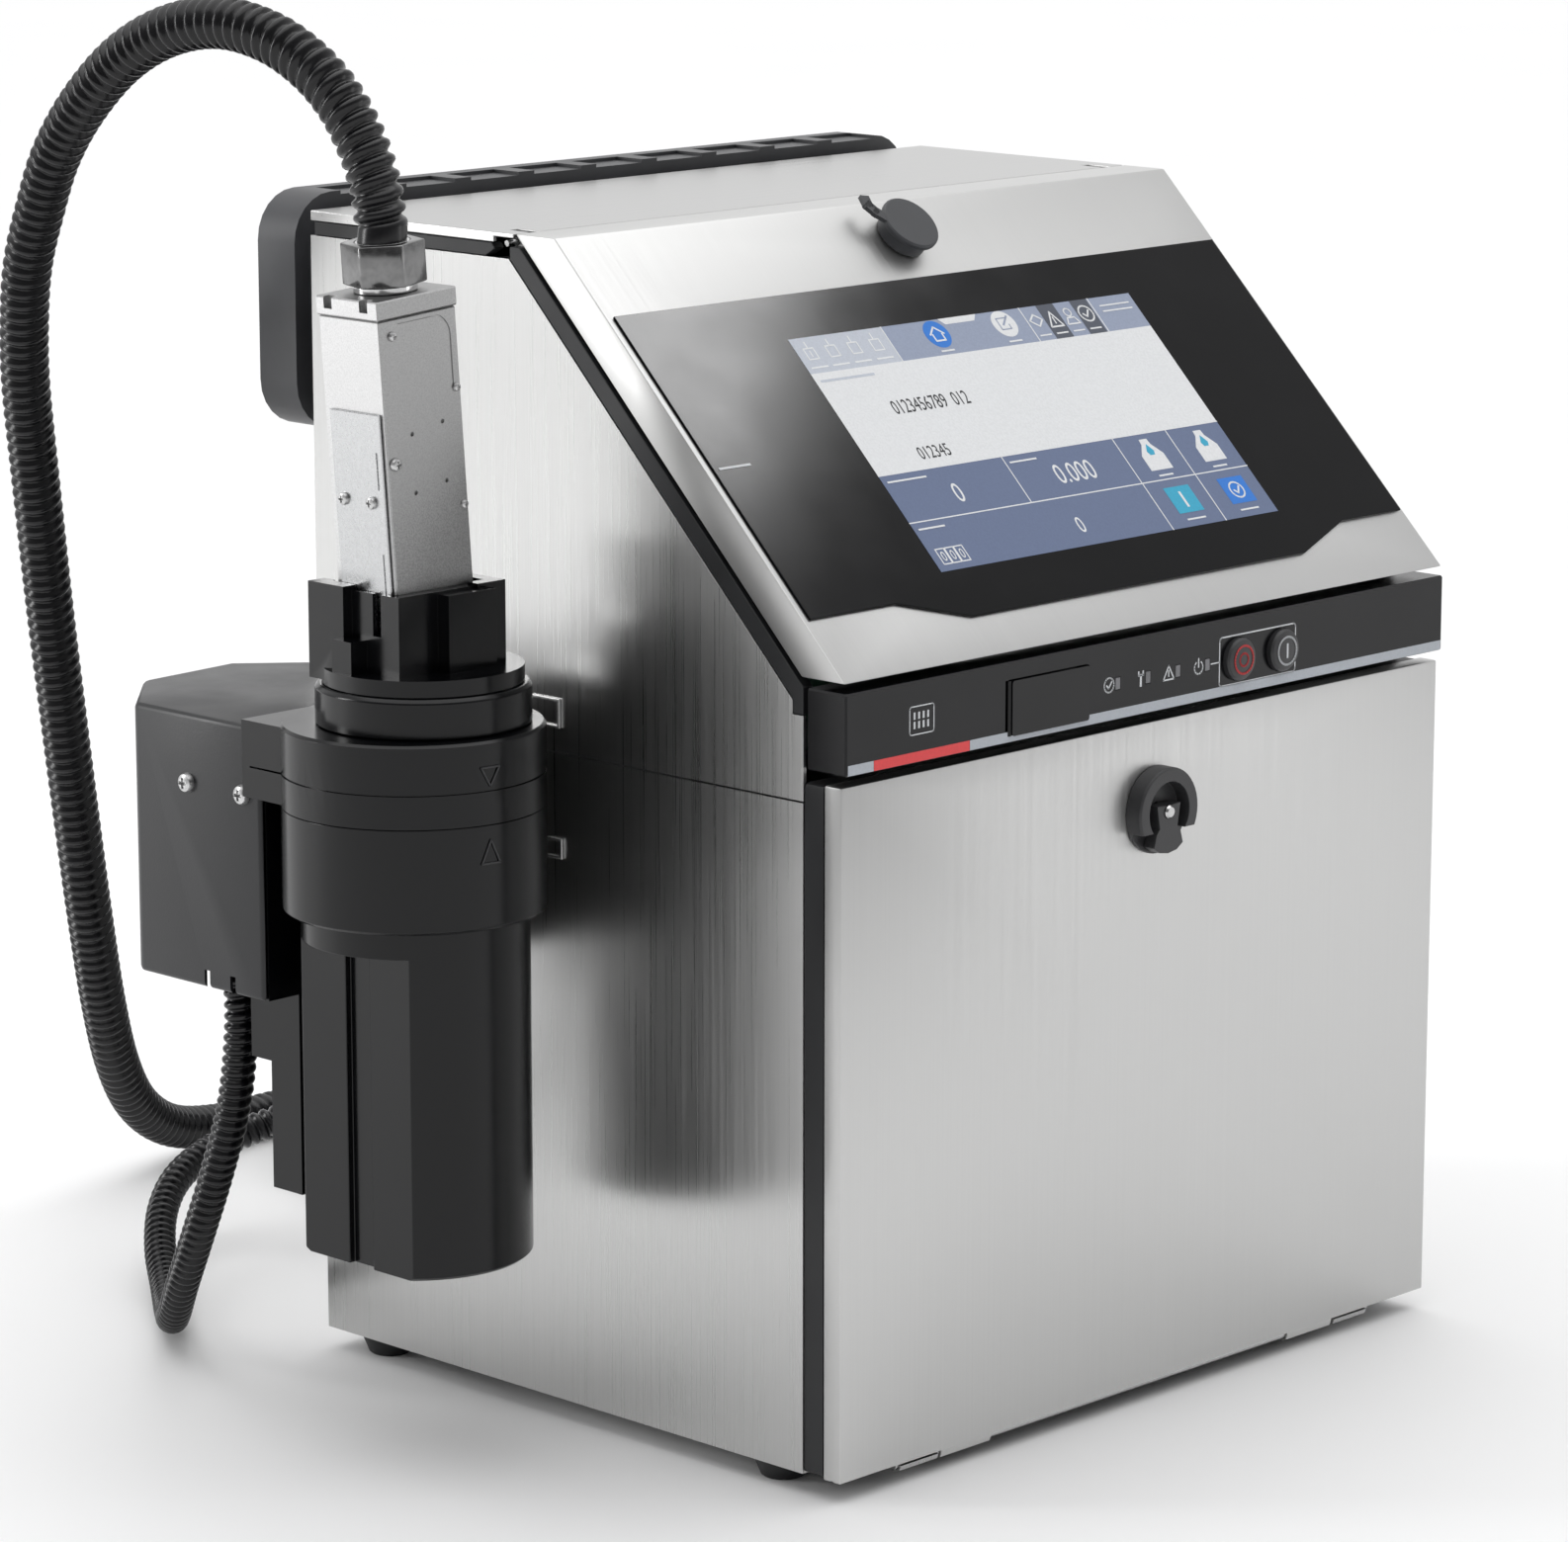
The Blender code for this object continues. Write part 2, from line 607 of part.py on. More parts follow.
def front_door():
    door = slab("front_door", (0, 0, 0), (WIDTH, DOOR_T, DOOR_H), STEEL)
    inside = slab("cut_door", (SHEET, SHEET, SHEET), (WIDTH - SHEET, DOOR_T + 5, DOOR_H - SHEET), STEEL)
    hole = prism("cut_latch_hole", circle(WIDTH / 2, LATCH_Z, 11.3, 28), "y", -5, DOOR_T + 5, STEEL)
    cut(soften(door, 1.0, 2), inside, hole)
    for x in (66.0, WIDTH - 98.0):
        lug = prism("add_door_lug", [(HINGE_Y - 3.0, 1.0), (HINGE_Y - 3.0, HINGE_Z),
                                     (HINGE_Y - 2.2, HINGE_Z - 2.4),
                                     (HINGE_Y, HINGE_Z - 3.2), (HINGE_Y + 2.2, HINGE_Z - 2.4),
                                     (HINGE_Y + 3.2, HINGE_Z),
                                     (HINGE_Y + 3.2, 1.0)], "x", x, x + 32.0, STEEL)
        join(door, lug)
    bore = turned("cut_door_bore", [(0, WIDTH), (HINGE_R + 0.25, WIDTH), (HINGE_R + 0.25, 0), (0, 0)],
                  STEEL, 12)
    move_to(bore, 0, HINGE_Y, HINGE_Z, "x")
    for x in (38.0, WIDTH - 66.0):
        cut(door, slab("cut_door_leaf", (x, SHEET - 0.4, -6), (x + 28, DOOR_T + 5, SHEET + 4), STEEL))
    cut(door, bore)
    set_origin(door, (0, HINGE_Y, HINGE_Z))


def door_hinge_rod():
    rod = turned("door_hinge_rod", [(0, WIDTH - 76), (HINGE_R, WIDTH - 76), (HINGE_R, 0), (0, 0)], CHROME, 12)
    move_to(rod, 38, HINGE_Y, HINGE_Z, "x")


def latch():
    x = WIDTH / 2
    face = -LATCH_PROUD
    body = turned("latch_dial", [(LATCH_INNER_R, LATCH_PROUD), (LATCH_R - 0.8, LATCH_PROUD),
                                    (LATCH_R, LATCH_PROUD - 0.8), (LATCH_R, GAP), (11.0, GAP), (11.0, -12.0),
                                    (LATCH_PIN_R + 0.3, -12.0), (LATCH_PIN_R + 0.3, 1.5),
                                    (LATCH_INNER_R, 1.5)],
                  BLACK, 44, closed=True)
    move_to(body, x, 0, LATCH_Z, "-y")
    mouth = slab("cut_latch_mouth", (x - 25, face - 3, LATCH_Z - 25), (x + 25, -2.2, LATCH_Z - 8.5), BLACK)
    cut(body, mouth)
    wing = [(-7.8, 3.2), (7.8, 3.2), (6.0, -7.0), (8.2, -9.6), (9.8, -15.2), (5.6, -17.9), (0, -18.8),
            (-5.6, -17.9),
            (-9.8, -15.2), (-8.2, -9.6), (-6.0, -7.0)]
    knob = prism("latch_knob", [(x + a, LATCH_Z + b) for a, b in wing], "y", face + 0.4, -2.2 - GAP, BLACK)
    knob_hole = prism("cut_knob", circle(x, LATCH_Z, LATCH_PIN_R + 0.15, 20), "y", face - 3, 3, BLACK)
    cut(knob, knob_hole)
    set_origin(knob, (x, 0, LATCH_Z))
    spindle = turned("latch_spindle",
                     [(0, LATCH_PROUD + 1.0), (2.2, LATCH_PROUD + 1.0), (LATCH_PIN_R, LATCH_PROUD),
                                       (LATCH_PIN_R, -(PANEL_Y + 7.5)), (0, -(PANEL_Y + 7.5))], CHROME, 20)
    move_to(spindle, x, 0, LATCH_Z, "-y")
    cam = slab("add_cam", (x - 8.0, PANEL_Y + 2.9, LATCH_Z - CAM_W / 2),
               (x + CAM_LENGTH, PANEL_Y + 5.9, LATCH_Z + CAM_W / 2), CHROME)
    join(spindle, cam)


def control_band():
    z1 = BAND_Z0 + BAND_H
    band = slab("control_band", (0, BAND_FRONT, BAND_Z0), (WIDTH, BAND_BACK, z1), GLOSS)
    inside = slab("cut_band", (3, BAND_FRONT + BAND_WALL, BAND_Z0 + 3), (WIDTH - 3, BAND_BACK + 5, z1 - 3),
                  GLOSS)
    port = prism("cut_port", rounded(PORT_X, PORT_Z, PORT_X + PORT_W, PORT_Z + PORT_H, 2.0, 2), "y",
                 BAND_FRONT - 3, 2, GLOSS)
    cut(soften(band, 0.8, 1), inside, port)
    for x in (STOP_X, ON_X):
        cut(band, prism("cut_button", circle(x, BUTTON_Z, BUTTON_R + BUTTON_CLEAR, 32), "y", BAND_FRONT - 3,
                        2, GLOSS))
    lens = slab("indicator_lens", (LAMP_X - 5, BAND_FRONT + BAND_WALL + GAP, BUTTON_Z - 4.5),
                (LAMP_X + 3 * LAMP_PITCH + 5, 3.0, BUTTON_Z + 4.5), LENS)
    for i in range(4):
        x = LAMP_X + i * LAMP_PITCH
        cut(band, slab("cut_lamp", (x - 1.8, BAND_FRONT - 3, BUTTON_Z - 2.9), (x + 1.8, 2, BUTTON_Z + 2.9),
                       GLOSS))
        join(lens, slab("add_lens", (x - 1.5, BAND_FRONT - 0.1, BUTTON_Z - 2.6),
                        (x + 1.5, 2.0, BUTTON_Z + 2.6), LENS))
    socket = slab("port_socket", (PORT_X - 3, BAND_FRONT + BAND_WALL + GAP, BAND_Z0 + 3 + GAP),
                  (PORT_X + PORT_W + 3, BAND_BACK - 2, z1 - 3 - GAP), BLACK)
    pocket = slab("cut_pocket", (PORT_X + 1, BAND_FRONT - 3, PORT_Z + 1),
                  (PORT_X + PORT_W - 1, 9.0, PORT_Z + PORT_H - 1), BLACK)
    plug = slab("add_plug", (PORT_X + 18, 4.0, PORT_Z + 9), (PORT_X + 32, 10.0, PORT_Z + 15), BLACK)
    join(cut(socket, pocket), plug)


def buttons():
    for name, x, finish in (("stop_button", STOP_X, SOFT), ("on_button", ON_X, SOFT)):
        button = turned(name, [(0, 4.0), (BUTTON_R - 3.0, 3.9), (BUTTON_R - 0.8, 3.2), (BUTTON_R, 2.2),
                               (BUTTON_R, -6.0),
                               (0, -6.0)], finish, 36)
        move_to(button, x, BAND_FRONT, BUTTON_Z, "-y")


def port_flap():
    x0 = PORT_X + 2.6
    flap = prism("port_flap", rounded(x0, PORT_Z + 0.5, PORT_X + PORT_W - 1.6, PORT_Z + PORT_H - 0.5, 1.2,
                                      2), "y",
                 BAND_FRONT - 1.4, BAND_FRONT + 0.9, BLACK)
    barrel = prism("add_barrel", circle(x0 - 0.6, BAND_FRONT + 0.2, 1.1, 12), "z", PORT_Z + 0.5,
                   PORT_Z + PORT_H - 0.5, BLACK)
    join(flap, barrel)
    set_origin(flap, (x0 - 0.6, BAND_FRONT + 0.2, PORT_Z))


# ---------------------------------------------------------------- console lid

def console_lid():
    profile = [(LID_FRONT, LID_Z0), (RIDGE_Y, TOP_Z), (LID_BACK_Y, TOP_Z), (LID_Z0 - LID_BACK_K, LID_Z0)]
    lid = prism("console_lid", profile, "x", 0, WIDTH, STEEL)
    wall = SHEET * math.sqrt(2.0)
    hollow = [(LID_Z0 + SHEET - LID_K + wall, LID_Z0 + SHEET), (TOP_Z - SHEET - LID_K + wall, TOP_Z - SHEET),
              (LID_BACK_Y + 30, TOP_Z - SHEET), (LID_Z0 + SHEET - LID_BACK_K + 30, LID_Z0 + SHEET)]
    cut(soften(lid, 0.8, 2), prism("cut_lid", hollow, "x", SHEET, WIDTH - SHEET, STEEL))
    edge = DISPLAY_BEZEL - 1.0
    window = slab("cut_screen", (SCREEN_X - edge, SCREEN_UP - edge, -10),
                  (SCREEN_X + SCREEN_W + edge, SCREEN_UP + SCREEN_H + edge, 10), STEEL)
    cut(lid, on_slope(window))
    boss = turned("cut_cap_hole", [(0, 12), (6.3, 12), (6.3, -12), (0, -12)], STEEL, 24)
    cut(lid, move_to(boss, *slope_point(CAP_X, CAP_UP, 0), "slope"))
    for x in (ARM_X, WIDTH - ARM_X - ARM_T):
        arm = prism("add_lid_arm", [(LID_BACK_Y - 12, TOP_Z - 1), (LID_BACK_Y - 2, TOP_Z - 1),
                                    (LID_BACK_Y + 0.5, TOP_Z - SHEET - 0.4), (ROD_Y + 1.2, ROD_Z + 2.7),
                                    (ROD_Y + 3.0, ROD_Z), (ROD_Y, ROD_Z - 3.0), (LID_BACK_Y - 12, TOP_Z - 9)],
                    "x", x, x + ARM_T, STEEL)
        join(lid, arm)
    bore = turned("cut_arm_bore", [(0, WIDTH), (HINGE_ROD_R + 0.25, WIDTH), (HINGE_ROD_R + 0.25, 0),
                                   (0, 0)], STEEL, 12)
    cut(lid, move_to(bore, 0, ROD_Y, ROD_Z, "x"))
    set_origin(lid, (0, ROD_Y, ROD_Z))


def lid_hinge_rod():
    rod = turned("lid_hinge_rod", [(0, WIDTH - 8), (HINGE_ROD_R, WIDTH - 8), (HINGE_ROD_R, 0), (0, 0)],
                 CHROME, 12)
    move_to(rod, 4, ROD_Y, ROD_Z, "x")


def console_glass():
    left, right = 3.0, WIDTH - 3.0
    outline = [(left, GLASS_TOP), (left, GLASS_SIDE_LOW), (55, GLASS_SIDE_LOW), (SCREEN_X + 2, GLASS_MID_LOW),
               (SCREEN_X + SCREEN_W - 1, GLASS_MID_LOW), (WIDTH - 46, GLASS_SIDE_LOW),
               (right, GLASS_SIDE_LOW), (right, GLASS_TOP)]
    glass = on_slope(prism("glass_panel", outline, "z", GAP, GAP + GLASS_T, GLASS))
    set_origin(glass, (0, ROD_Y, ROD_Z))
    rim = DISPLAY_BEZEL
    module = slab("display_module", (SCREEN_X - rim, SCREEN_UP - rim, -SHEET - GAP - DISPLAY_T),
                  (SCREEN_X + SCREEN_W + rim, SCREEN_UP + SCREEN_H + rim, -SHEET - GAP), BLACK)
    raised = slab("add_display", (SCREEN_X - 3, SCREEN_UP - 3, -SHEET - 2),
                  (SCREEN_X + SCREEN_W + 3, SCREEN_UP + SCREEN_H + 3, 0), BLACK)
    join(module, raised)
    on_slope(module)
    raised.data.transform(slope_matrix())
    set_origin(module, (0, ROD_Y, ROD_Z))


def service_cap():
    socket = turned("cap_socket", [(0, 9.5), (7.5, 9.5), (7.5, 2.5), (10.0, 2.0), (10.0, GAP), (6.0, GAP),
                                   (6.0, -9.0),
                                   (0, -9.0)], CHROME, 28)
    move_to(socket, *slope_point(CAP_X, CAP_UP, 0), "slope")
    cap = turned("service_cap", [(0, CAP_H), (CAP_R - 0.8, CAP_H), (CAP_R, CAP_H - 0.8), (CAP_R, CAP_H - 2.6),
                                 (CAP_R - 2.2, CAP_H - 3.4), (CAP_R - 2.2, 0.9), (10.6, 0.9),
                                 (10.6, 2.8), (8.0, 3.2),
                                 (8.0, 10.0), (0, 10.0)], SOFT, 36)
    move_to(cap, *slope_point(CAP_X, CAP_UP, 0), "slope")


# ---------------------------------------------------------------- cleaning station

def station_bracket():
    back_y = STATION_Y + RING_R + 1.5
    plate = slab("station_bracket", (BOX_X + 3, back_y, CUP_Z0 + 16), (-GAP, back_y + 3, BOX_TOP - 2), BLACK)
    foot = slab("add_flange", (-3.3, back_y, BOX_Z0), (-GAP, back_y + 80, BOX_TOP - 2), BLACK)
    wing = slab("add_wing", (BOX_X + 20, back_y + 1, CUP_Z0 + 16), (BOX_X + 23, back_y + 32, BOX_Z0 + 8),
                BLACK)
    step = slab("cut_wing", (BOX_X + 10, back_y + 19, CUP_Z0), (BOX_X + 30, back_y + 60, CUP_Z0 + 73), BLACK)
    join(plate, foot)
    join(plate, wing)
    low = slab("cut_low_plate", (BOX_X + 24, back_y - 5, CUP_Z0), (5, back_y + 10, BOX_Z0), BLACK)
    side = slab("cut_side_plate", (BOX_X - 5, back_y - 5, CUP_Z0), (BOX_X + 19.9, back_y + 10, BOX_Z0), BLACK)
    return cut(plate, step, low, side)


def box_outline(inset, reach):
    y0 = STATION_Y + RING_R + 1.2 - reach
    rear = REAR_Y + 21.6 - inset
    left = BOX_X + inset
    turn = inset * 0.4
    right = -3.9 + reach
    return [(left, y0), (left, 309 - turn), (-88 + turn, 344.5 - inset), (-31 - turn, rear),
            (-5 if not reach else right, 325.5 - (inset + turn if reach else 0)), (right, y0)]


def station_box():
    shell = prism("station_box", box_outline(0, 0), "z", BOX_Z0, BOX_TOP, POWDER)
    inside = prism("cut_box", box_outline(BOX_SHEET, 12), "z", BOX_Z0 - 10, BOX_TOP - BOX_SHEET, POWDER)
    cut(soften(shell, 2.4, 3), inside)
    for y in (245.0, 262.0):
        cut(shell, slab("cut_box_slot", (BOX_X - 3, y, BOX_Z0 - 5), (BOX_X + 4, y + 3.5, BOX_Z0 + 8), POWDER))
    y0 = STATION_Y + RING_R + 6.0
    pump = slab("station_pump", (BOX_X + 26, y0, BOX_Z0 + 12), (BOX_X + 84, y0 + 62, BOX_TOP - 8), BLACK)
    soften(pump, 3.0, 2)
    head = turned("add_drain_neck", [(0, 30), (9.4, 30), (9.4, 0), (0, 0)], BLACK, 20)
    move_to(head, DRAIN_START[0], DRAIN_START[1], DRAIN_START[2] + GAP)
    join(pump, head)
    arm = slab("add_drain_arm", (DRAIN_START[0] - 8, y0 + 20, BOX_Z0 + 13),
               (BOX_X + 40, DRAIN_START[1] + 8, BOX_Z0 + 30), BLACK)
    return join(pump, arm)


def station_rings():
    x, y = STATION_X, STATION_Y
    collar = turned("station_collar",
                    [(0, SEAT_Z0 - GAP), (RING_R - 1.2, SEAT_Z0 - GAP), (RING_R, SEAT_Z0 - 1.5),
                                       (RING_R, COLLAR_Z0), (0, COLLAR_Z0)], BLACK, 56)
    move_to(collar, x, y, 0)
    arms = slab("add_collar_arm", (x - 46, y + 20, COLLAR_Z0 + 1),
                (x + 46, y + RING_R + 1.2, SEAT_Z0 - 1.3), BLACK)
    bore = prism("cut_collar", circle(x, y, 38.0, 40), "z", COLLAR_Z0 - 5, SEAT_Z0 + 5, BLACK)
    cut(join(collar, arms), bore)

    sx, sy = x + SEAT_OFFSET, y - SEAT_OFFSET
    seat = turned("station_seat", [(0, SOCKET_Z0 - GAP), (SEAT_R - 1.5, SOCKET_Z0 - GAP),
                                   (SEAT_R, SOCKET_Z0 - 2.0),
                                   (SEAT_R, SEAT_Z0), (0, SEAT_Z0)], BLACK, 52)
    move_to(seat, sx, sy, 0)
    room_x, room_y = HEAD_X / 2 + SOCKET_CLEAR, HEAD_Y / 2 + SOCKET_CLEAR
    hole = slab("cut_seat", (x - room_x - 2, y - room_y, SEAT_Z0 - 5),
                (x + room_x + 2, y + room_y, SOCKET_Z0 + 5), BLACK)
    cut(seat, hole)

    floor = prism("head_socket", circle(sx, sy, SEAT_R - 3.0, 44), "z", SOCKET_Z0, SOCKET_Z0 + 7, BLACK)
    tower = slab("add_tower", (x - 29, y - 24, SOCKET_Z0 + 3), (x + 27, y + 24, SOCKET_TOP - 2), BLACK)
    left = slab("add_left", (x - 34, y + 5, SOCKET_Z0 + 2), (x - 25, y + 27, SOCKET_TOP), BLACK)
    block = slab("add_block", (x - 7, y - 31, SOCKET_Z0 + 4), (x + 20, y - 22, SOCKET_TOP - 3), BLACK)
    back = slab("add_back", (x + 14, y - 26, SOCKET_Z0 + 6), (x + 30, y + 10, SOCKET_TOP - 1), BLACK)
    rib = slab("add_rib", (x - 38, y - 4, SOCKET_Z0 + 1), (x - 26, y + 8, SOCKET_Z0 + 21), BLACK)
    join(floor, tower, left, block, back, rib)
    room = slab("cut_socket", (x - room_x - 3.4, y - room_y, SOCKET_Z0 - 5),
                (x + room_x, y + room_y, SOCKET_TOP + 5), BLACK)
    slot = slab("cut_socket_slot", (x - 40, y - 13, SOCKET_TOP - 20), (x - 15, y - 8, SOCKET_TOP + 5), BLACK)
    cut(floor, room, slot)


def station_cup():
    x, y = STATION_X, STATION_Y
    top = COLLAR_Z0 - GAP
    rim = RING_Z0 + 6.0
    bore_r = RING_R - 10.0
    ring = turned("station_cup_ring",
                  [(bore_r, top), (RING_R, top), (RING_R, RING_Z0 + 1.5), (RING_R - 1.5, RING_Z0),
                                       (CUP_R + GAP, RING_Z0), (CUP_R + GAP, rim + GAP), (bore_r, rim + GAP)],
                  BLACK, 56, closed=True)
    move_to(ring, x, y, 0)
    cup = turned("station_cup", [(0, rim), (CUP_R, rim), (CUP_R, CUP_Z0 + 1.5), (CUP_R - 2, CUP_Z0),
                                 (0, CUP_Z0)],
                 BLACK, 56)
    move_to(cup, x, y, 0)
    flat_cut = slab("cut_cup_flat", (x - 60, y - 60, CUP_Z0 - 5), (x - CUP_FLAT, y + 60, RING_Z0 - 12), BLACK)
    groove = slab("cut_cup_groove", (x - 60, y - 9, CUP_Z0 - 5), (x - CUP_FLAT + 3.0, y + 6, RING_Z0 - 12),
                  BLACK)
    bore = turned("cut_cup_bore", [(0, rim + 5), (bore_r, rim + 5), (bore_r, rim), (30.0, RING_Z0 - 8),
                                   (30.0, CUP_Z0 + 6), (0, CUP_Z0 + 6)], BLACK, 40)
    move_to(bore, x, y, 0)
    cut(cup, flat_cut, groove, bore)


# ---------------------------------------------------------------- print head

def print_head():
    hx, hy = HEAD_X / 2, HEAD_Y / 2
    wall = 1.5
    cover = slab("head_cover", (-hx, -hy, HEAD_LOW), (hx, hy, HEAD_COVER_TOP), ALLOY)
    inside = slab("cut_cover_inside", (-hx + wall, -hy + wall, HEAD_LOW - 5),
                  (hx - wall, hy - wall, HEAD_COVER_TOP - wall), ALLOY)
    on_head(soften(cover, 0.6, 1))
    on_head(inside)
    cut(cover, inside)

    block = slab("head_block", (-hx + 4, -hy + 4, 66), (hx - 4, hy - wall - GAP, 150), BRASS)
    on_head(block)
    spine = slab("add_spine", (-hx + 4, hy - 6, 0), (hx - 4, hy - wall - GAP, 70), BRASS)
    on_head(spine)
    join(block, spine)
    nozzle = turned("add_nozzle", [(0, 70), (4.5, 70), (4.5, 56), (1.5, 50), (0, 50)], BRASS, 20)
    on_head(nozzle)
    electrodes = slab("add_electrodes", (-9, -3, 6), (9, hy - 5, 47), BRASS)
    gap = slab("cut_electrode", (-2.5, -10, 0), (2.5, 6, 60), BRASS)
    on_head(electrodes)
    on_head(gap)
    join(block, nozzle)
    join(block, electrodes)
    cut(block, gap)

    plate = slab("head_side_plate", (-hx - 1.3, -hy + 2, HEAD_LOW + 1), (-hx - GAP, hy - 4, 118), ALLOY)
    on_head(soften(plate, 0.4, 1))

    cap_z = HEAD_COVER_TOP + GAP
    cap = slab("head_cap", (-hx - 0.6, -hy - 0.6, cap_z), (hx + 0.6, hy + 0.6, cap_z + HEAD_CAP_T), ALLOY)
    on_head(soften(cap, 0.6, 1))
    for y in (-13.0, 9.0):
        notch = slab("cut_cap_notch", (-hx - 3, y, cap_z + 3), (-hx + 3, y + 5, cap_z + HEAD_CAP_T + 3),
                     ALLOY)
        cut(cap, on_head(notch))
    top = cap_z + HEAD_CAP_T
    neck = turned("head_neck", [(0, top + 3 + NUT_H), (NECK_R - 2, top + 3 + NUT_H), (NECK_R - 2, top + 3),
                                (NECK_R, top + 3), (NECK_R, top + GAP), (0, top + GAP)], CHROME, 32)
    on_head(neck)
    outer = [(NUT_R * math.cos(math.radians(60 * i + 15)),
              NUT_R * math.sin(math.radians(60 * i + 15))) for i in range(6)]
    nut = prism("hose_nut", outer, "z", top + 3 + GAP, top + 3 + NUT_H, CHROME)
    on_head(soften(nut, 0.8, 2))
    room = turned("cut_nut", [(0, top + 60), (NECK_R - 1.7, top + 60), (NECK_R - 1.7, top), (0, top)],
                  CHROME, 32)
    on_head(room)
    cut(nut, room)


NUT_TOP = HEAD_COVER_TOP + GAP + HEAD_CAP_T + 3 + NUT_H

# ---------------------------------------------------------------- hoses

# The umbilical leaves the nut, arches over behind the station and comes down to the floor.
ARCH_ROUTE = ((-101.2, 170.4, 548), (-101.9, 177.3, 565), (-102.7, 189.6, 582), (-103.6, 207.5, 596),
              (-104, 233, 606.5), (-103.8, 265, 610.5), (-103.2, 299, 605), (-101.6, 332, 591),
              (-98.6, 363, 569), (-94.3, 388, 545), (-89, 407, 519), (-83.6, 423, 494),
              (-77, 435, 468), (-67, 448, 436), (-50, 464, 387), (-26, 486, 320),
              (-8, 501, 267), (11, 517, 214), (34, 537, 157), (60, 560, 103),
              (86, 581.5, 62), (115, 601.5, 32), (148, 616.5, 12), (184, 624.5, 3.3),
              (222, 627, 1.75), (262, 627.3, 1.75))
DRAIN_START = (-98.0, 270.0, 200.0)
DRAIN_ROUTE = ((-98, 270, 170), (-97, 277, 135), (-94, 293, 100), (-89, 313, 66),
               (-78, 338, 35), (-61, 365, 11), (-38, 395, 0), (-14, 427, 1.5),
               (6, 455, 9), (25, 476, 19), (44, 489, 28), (65, 496.5, 34),
               (87, 496.5, 40), (108, 489, 46), (125, 475, 52), (136, 456, 59),
               (140, 432, 65), (140.4, 404, 71))


def coil_point(turn, radius, z):
    """Clockwise seen from above, from the far side: the hose arrives heading to the right."""
    angle = math.radians(90) - turn
    return Vector((COIL_X + radius * math.cos(angle), COIL_Y + radius * math.sin(angle), z))


def hoses():
    radius = HOSE_D / 2
    floor = FLOOR_Z + radius
    start = head_point(0, 0, NUT_TOP + GAP)
    route = [start + HEAD_AXIS * 6] + [Vector(p) for p in ARCH_ROUTE]
    route += [coil_point(t, COIL_MEAN_R + radius, floor) for t in (0.0, 0.25, 0.5)]
    lead = [start] + smooth_path(route, HOSE_D)
    tube("umbilical_hose", lead, radius, HOSE)
    beyond = lead[-1] + (lead[-1] - lead[-2]).normalized() * GAP
    groove = tube_mesh("cut_coil_in", lead[-14:-1] + [beyond], radius + GAP)

    tail = coil_exit()
    tube("umbilical_tail", tail, radius, HOSE)
    before = tail[0] - (tail[1] - tail[0]).normalized() * GAP
    notch = tube_mesh("cut_coil_out", [before] + tail[1:10], radius + GAP)

    low, high = FLOOR_Z, floor + HOSE_D + radius
    r0, r1 = COIL_MEAN_R - HOSE_D, COIL_MEAN_R + HOSE_D
    ring = turned("umbilical_coil", [(r0 + 6, high), (r1 - 6, high), (r1, high - 6), (r1, low + 5),
                                     (r1 - 5, low),
                                     (r0 + 5, low), (r0, low + 5), (r0, high - 6)], HOSE, 56, closed=True)
    move_to(ring, COIL_X, COIL_Y, 0)
    cut(ring, groove, notch)


def coil_exit():
    """The last turn lifts off the coil's top layer and runs up to the gland in the rear panel."""
    floor = FLOOR_Z + HOSE_D / 2
    z = floor + HOSE_D
    leaving = ((0.1, 0.0), (0.3, 0.5), (0.5, 3.5), (0.7, 9.0), (0.9, 17.0), (1.1, 27.0), (1.3, 38.5))
    points = [coil_point(turn, COIL_MEAN_R + HOSE_D / 2, z + lift) for turn, lift in leaving]
    climb = ((456, 494, 73.5), (453.4, 473, 82), (445.6, 453.3, 90.5), (433.3, 436.1, 98), (417, 422.5, 105),
             (400.7, 409.2, 110.5), (388.4, 392, 115), (380.6, 372.3, 118.5))
    points += [Vector(p) for p in climb]
    end = Vector((GLAND_X, REAR_Y + 24 + GAP, GLAND_Z))
    points += [end + Vector((0, 4, 0))]
    return smooth_path(points, HOSE_D) + [end]


def drain_hose():
    start = Vector(DRAIN_START)
    end = Vector((DRAIN_GLAND_X, REAR_Y + 18 + GAP, DRAIN_GLAND_Z))
    route = [start - Vector((0, 0, 5))] + [Vector(p) for p in DRAIN_ROUTE]
    route += [end + Vector((0, 32, -2)), end + Vector((0, 6, 0))]
    tube("drain_hose", [start] + smooth_path(route, DRAIN_D) + [end], DRAIN_D / 2, HOSE)


def glands():
    for name, x, z, bore, hose, reach in (("umbilical_gland", GLAND_X, GLAND_Z, 13.4, HOSE_D, 24.0),
                                          ("drain_gland", DRAIN_GLAND_X, DRAIN_GLAND_Z, 9.4, DRAIN_D, 18.0)):
        gland = turned(name, [(0, reach), (hose / 2 + 1.5, reach), (hose / 2 + 3.5, reach - 9),
                              (bore + 4, reach - 10),
                              (bore + 4, GAP), (bore, GAP), (bore, -8.0), (0, -8.0)], BLACK, 28)
        move_to(gland, x, REAR_Y, z, "y")


# ---------------------------------------------------------------- assembly

